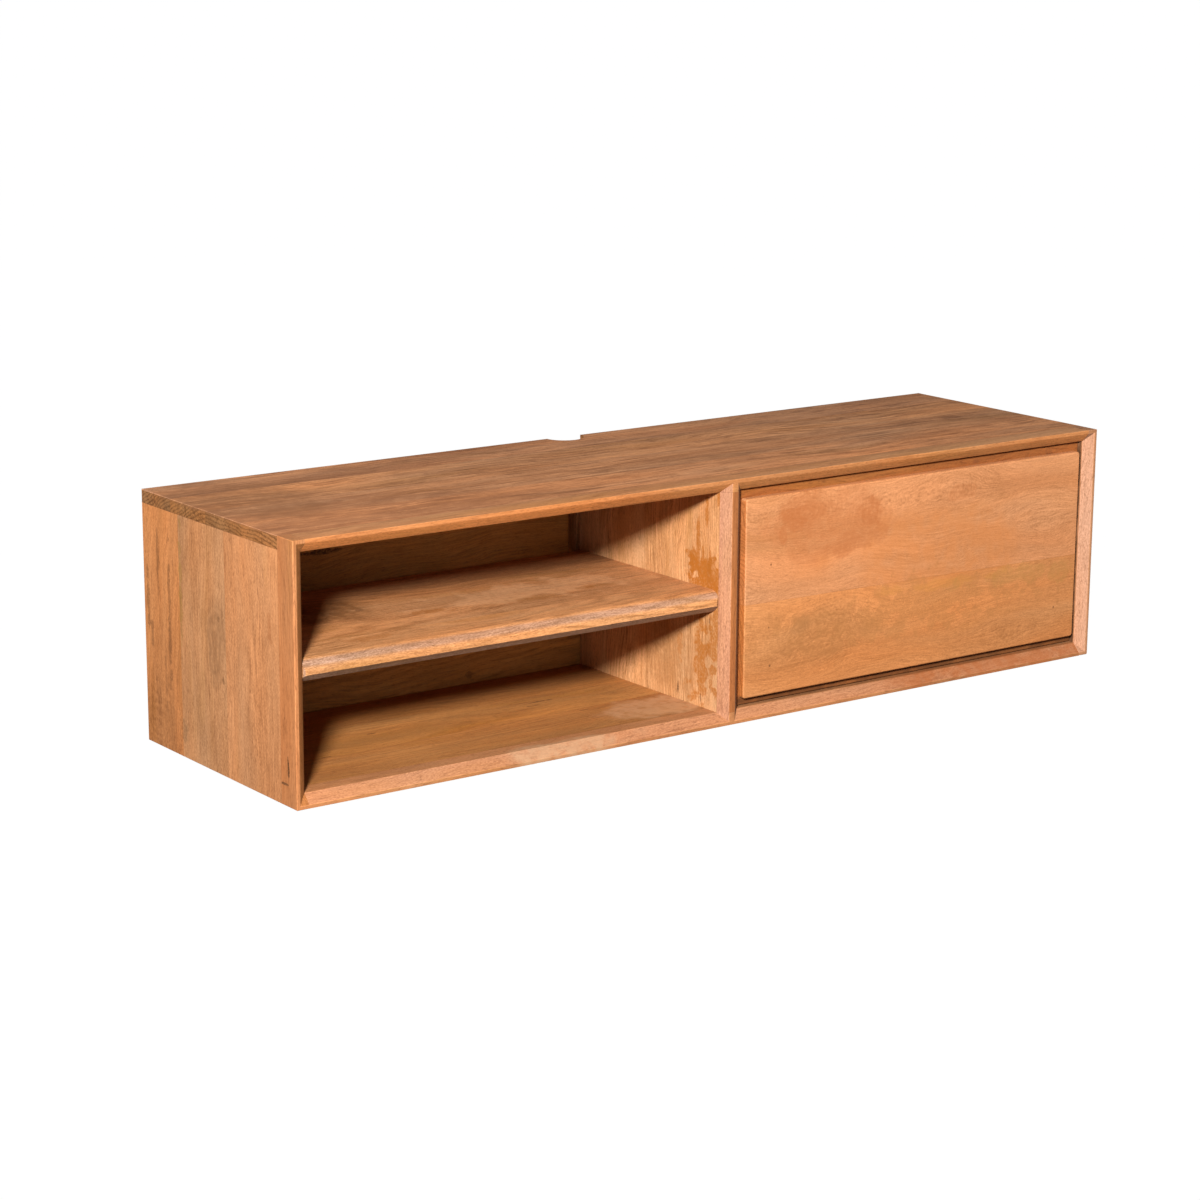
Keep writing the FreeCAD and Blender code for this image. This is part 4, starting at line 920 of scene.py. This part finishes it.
# The shank, its ridge following the angle round and the way along, runs out in a point.
past = reckon(t, "DIVIDE", less(t, ring, HEAD_RINGS + 1.0), less(t, given["Rings"], HEAD_RINGS + 1.0))
along = times(t, past, given["Length"])
turned = reckon(t, "DIVIDE", reckon(t, "ARCTAN2", y, x), 2 * pi)
phase = reckon(t, "FRACT", total(t, reckon(t, "DIVIDE", along, given["Pitch"]), turned))
ridge = reckon(t, "ABSOLUTE", times(t, phase, 2.0, plus=-1.0))
hollow = times(t, less(t, 1.0, ridge), between(t, past, 0.15, 0.25))
left_over = reckon(t, "DIVIDE", less(t, given["Length"], along), times(t, given["Radius"], 2.2))
threaded = times(t, times(t, hollow, -0.32, plus=1.0), between(t, left_over, -0.08, 1.0))
shank_wide = times(t, given["Radius"], threaded)

in_shank = less(t, 1.0, in_head)
wide = total(t, times(t, in_head, head_wide), times(t, in_shank, shank_wide))
height = total(t, total(t, times(t, in_head, head_z), cross), times(t, in_shank, along))
screw = place(t, "GeometryNodeSetPosition", {
    "Geometry": blank.outputs["Mesh"], "Position": joined(t, times(t, x, wide), times(t, y, wide), height)})
set_on_spots(t, screw.outputs[0], given, result)

screw_zinc = metal("screw_zinc", (0.66, 0.63, 0.52), (0.40, 0.38, 0.32), own="own", relief=0.05, Spangle=0.1,
                   Film=0.8, Polish=0.16, Dull=0.45)
PAN = {"Radius": 0.002, "Head Radius": 0.004, "Head Height": 0.0025, "Pitch": 0.0018}
LOW = {"Radius": 0.00175, "Head Radius": 0.0035, "Head Height": 0.001, "Pitch": 0.0014}
for node, kind in (("packer_screws", PAN), ("hanging_rail_screws", PAN), ("drawer_front_screws", PAN),
                   ("runner_case_screws", LOW), ("runner_drawer_screws", LOW)):
    spots = []
    for middle, way, span in (long_axis(points) for points in loose_solids(node)):
        spots.append((middle - way * (span / 2 - kind["Head Height"]), way))
    length = span - kind["Head Height"]
    rings = int(length / kind["Pitch"] * RINGS_TO_A_TURN) + HEAD_RINGS + 1
    repeated(node, screw_tree, spots, screw_zinc, 7, Length=length, Rings=rings, **kind)


# Studio: a plain pale floor, a soft round light to the front left and above, a weak long one low
# behind on the right, and an even pale surround. The camera stands to the front left, a little
# above the case.

floor_shape = bmesh.new()
bmesh.ops.create_grid(floor_shape, x_segments=1, y_segments=1, size=60)
bmesh.ops.translate(floor_shape, verts=floor_shape.verts, vec=(0, 0, -0.002))
floor_mesh = bpy.data.meshes.new("floor")
floor_shape.to_mesh(floor_mesh)
floor_shape.free()
floor = set_up("floor", floor_mesh)
floor_paint, tree, shader = new_material("floor_paint")
tree.nodes.remove(shader)
seen = tree.nodes.new("ShaderNodeLightPath").outputs["Is Camera Ray"]
matt = place(tree, "ShaderNodeBsdfDiffuse", {"Color": (0.075, 0.075, 0.075)})
lit = place(tree, "ShaderNodeEmission", {"Color": WHITE, "Strength": 1.055})
both = place(tree, "ShaderNodeMixShader", {0: times(tree, seen, 0.95), 1: matt.outputs[0], 2: lit.outputs[0]})
tree.links.new(both.outputs[0], tree.nodes["Material Output"].inputs["Surface"])
floor_mesh.materials.append(floor_paint)

middle = Vector((0.0, 0.0, 0.175))


def hang_light(name, shape, energy, spot, size, size_y=0.0):
    """A flat light at a spot, turned towards the middle of the case."""
    light = bpy.data.lights.new(name, "AREA")
    light.shape, light.energy, light.size = shape, energy, size
    if size_y:
        light.size_y = size_y
    lamp = set_up(name, light)
    lamp.location = spot
    lamp.rotation_euler = (lamp.location - middle).to_track_quat("Z", "Y").to_euler()
    return lamp


key_lamp = hang_light("key_light", "DISK", 862, (-4.00, -4.26, 2.59), 0.75)
key_lamp.data.color = (1.0, 0.985, 0.96)
fill_lamp = hang_light("fill_light", "RECTANGLE", 170, (3.4, 3.4, middle.z), 3.0, 0.34)
fill_lamp.visible_camera = False
fill_lamp.visible_glossy = False

world = bpy.data.worlds.new("surround")
world.use_nodes = True
tree = world.node_tree
seen = tree.nodes.new("ShaderNodeLightPath").outputs["Is Camera Ray"]
tree.nodes["Background"].inputs["Color"].default_value = WHITE
tree.links.new(times(tree, seen, 0.82, plus=0.18), tree.nodes["Background"].inputs["Strength"])
bpy.context.scene.world = world
bpy.context.scene.view_settings.view_transform = "Standard"

azimuth, height, roll = radians(-36.20), radians(13.41), radians(0.37)
back = Vector((sin(azimuth) * cos(height), -cos(azimuth) * cos(height), sin(height)))
right = (-back).cross(Vector((0, 0, 1))).normalized()
up = right.cross(-back)
rolled = Matrix((right * cos(roll) + up * sin(roll), up * cos(roll) - right * sin(roll), back)).transposed()
camera = bpy.data.cameras.new("camera")
camera.sensor_width = 36
camera.lens = 89.643
camera.clip_end = 200
stand = set_up("camera", camera)
stand.matrix_world = Matrix.Translation((-2.52790, -3.34362, 1.13966)) @ rolled.to_4x4()
bpy.context.scene.camera = stand
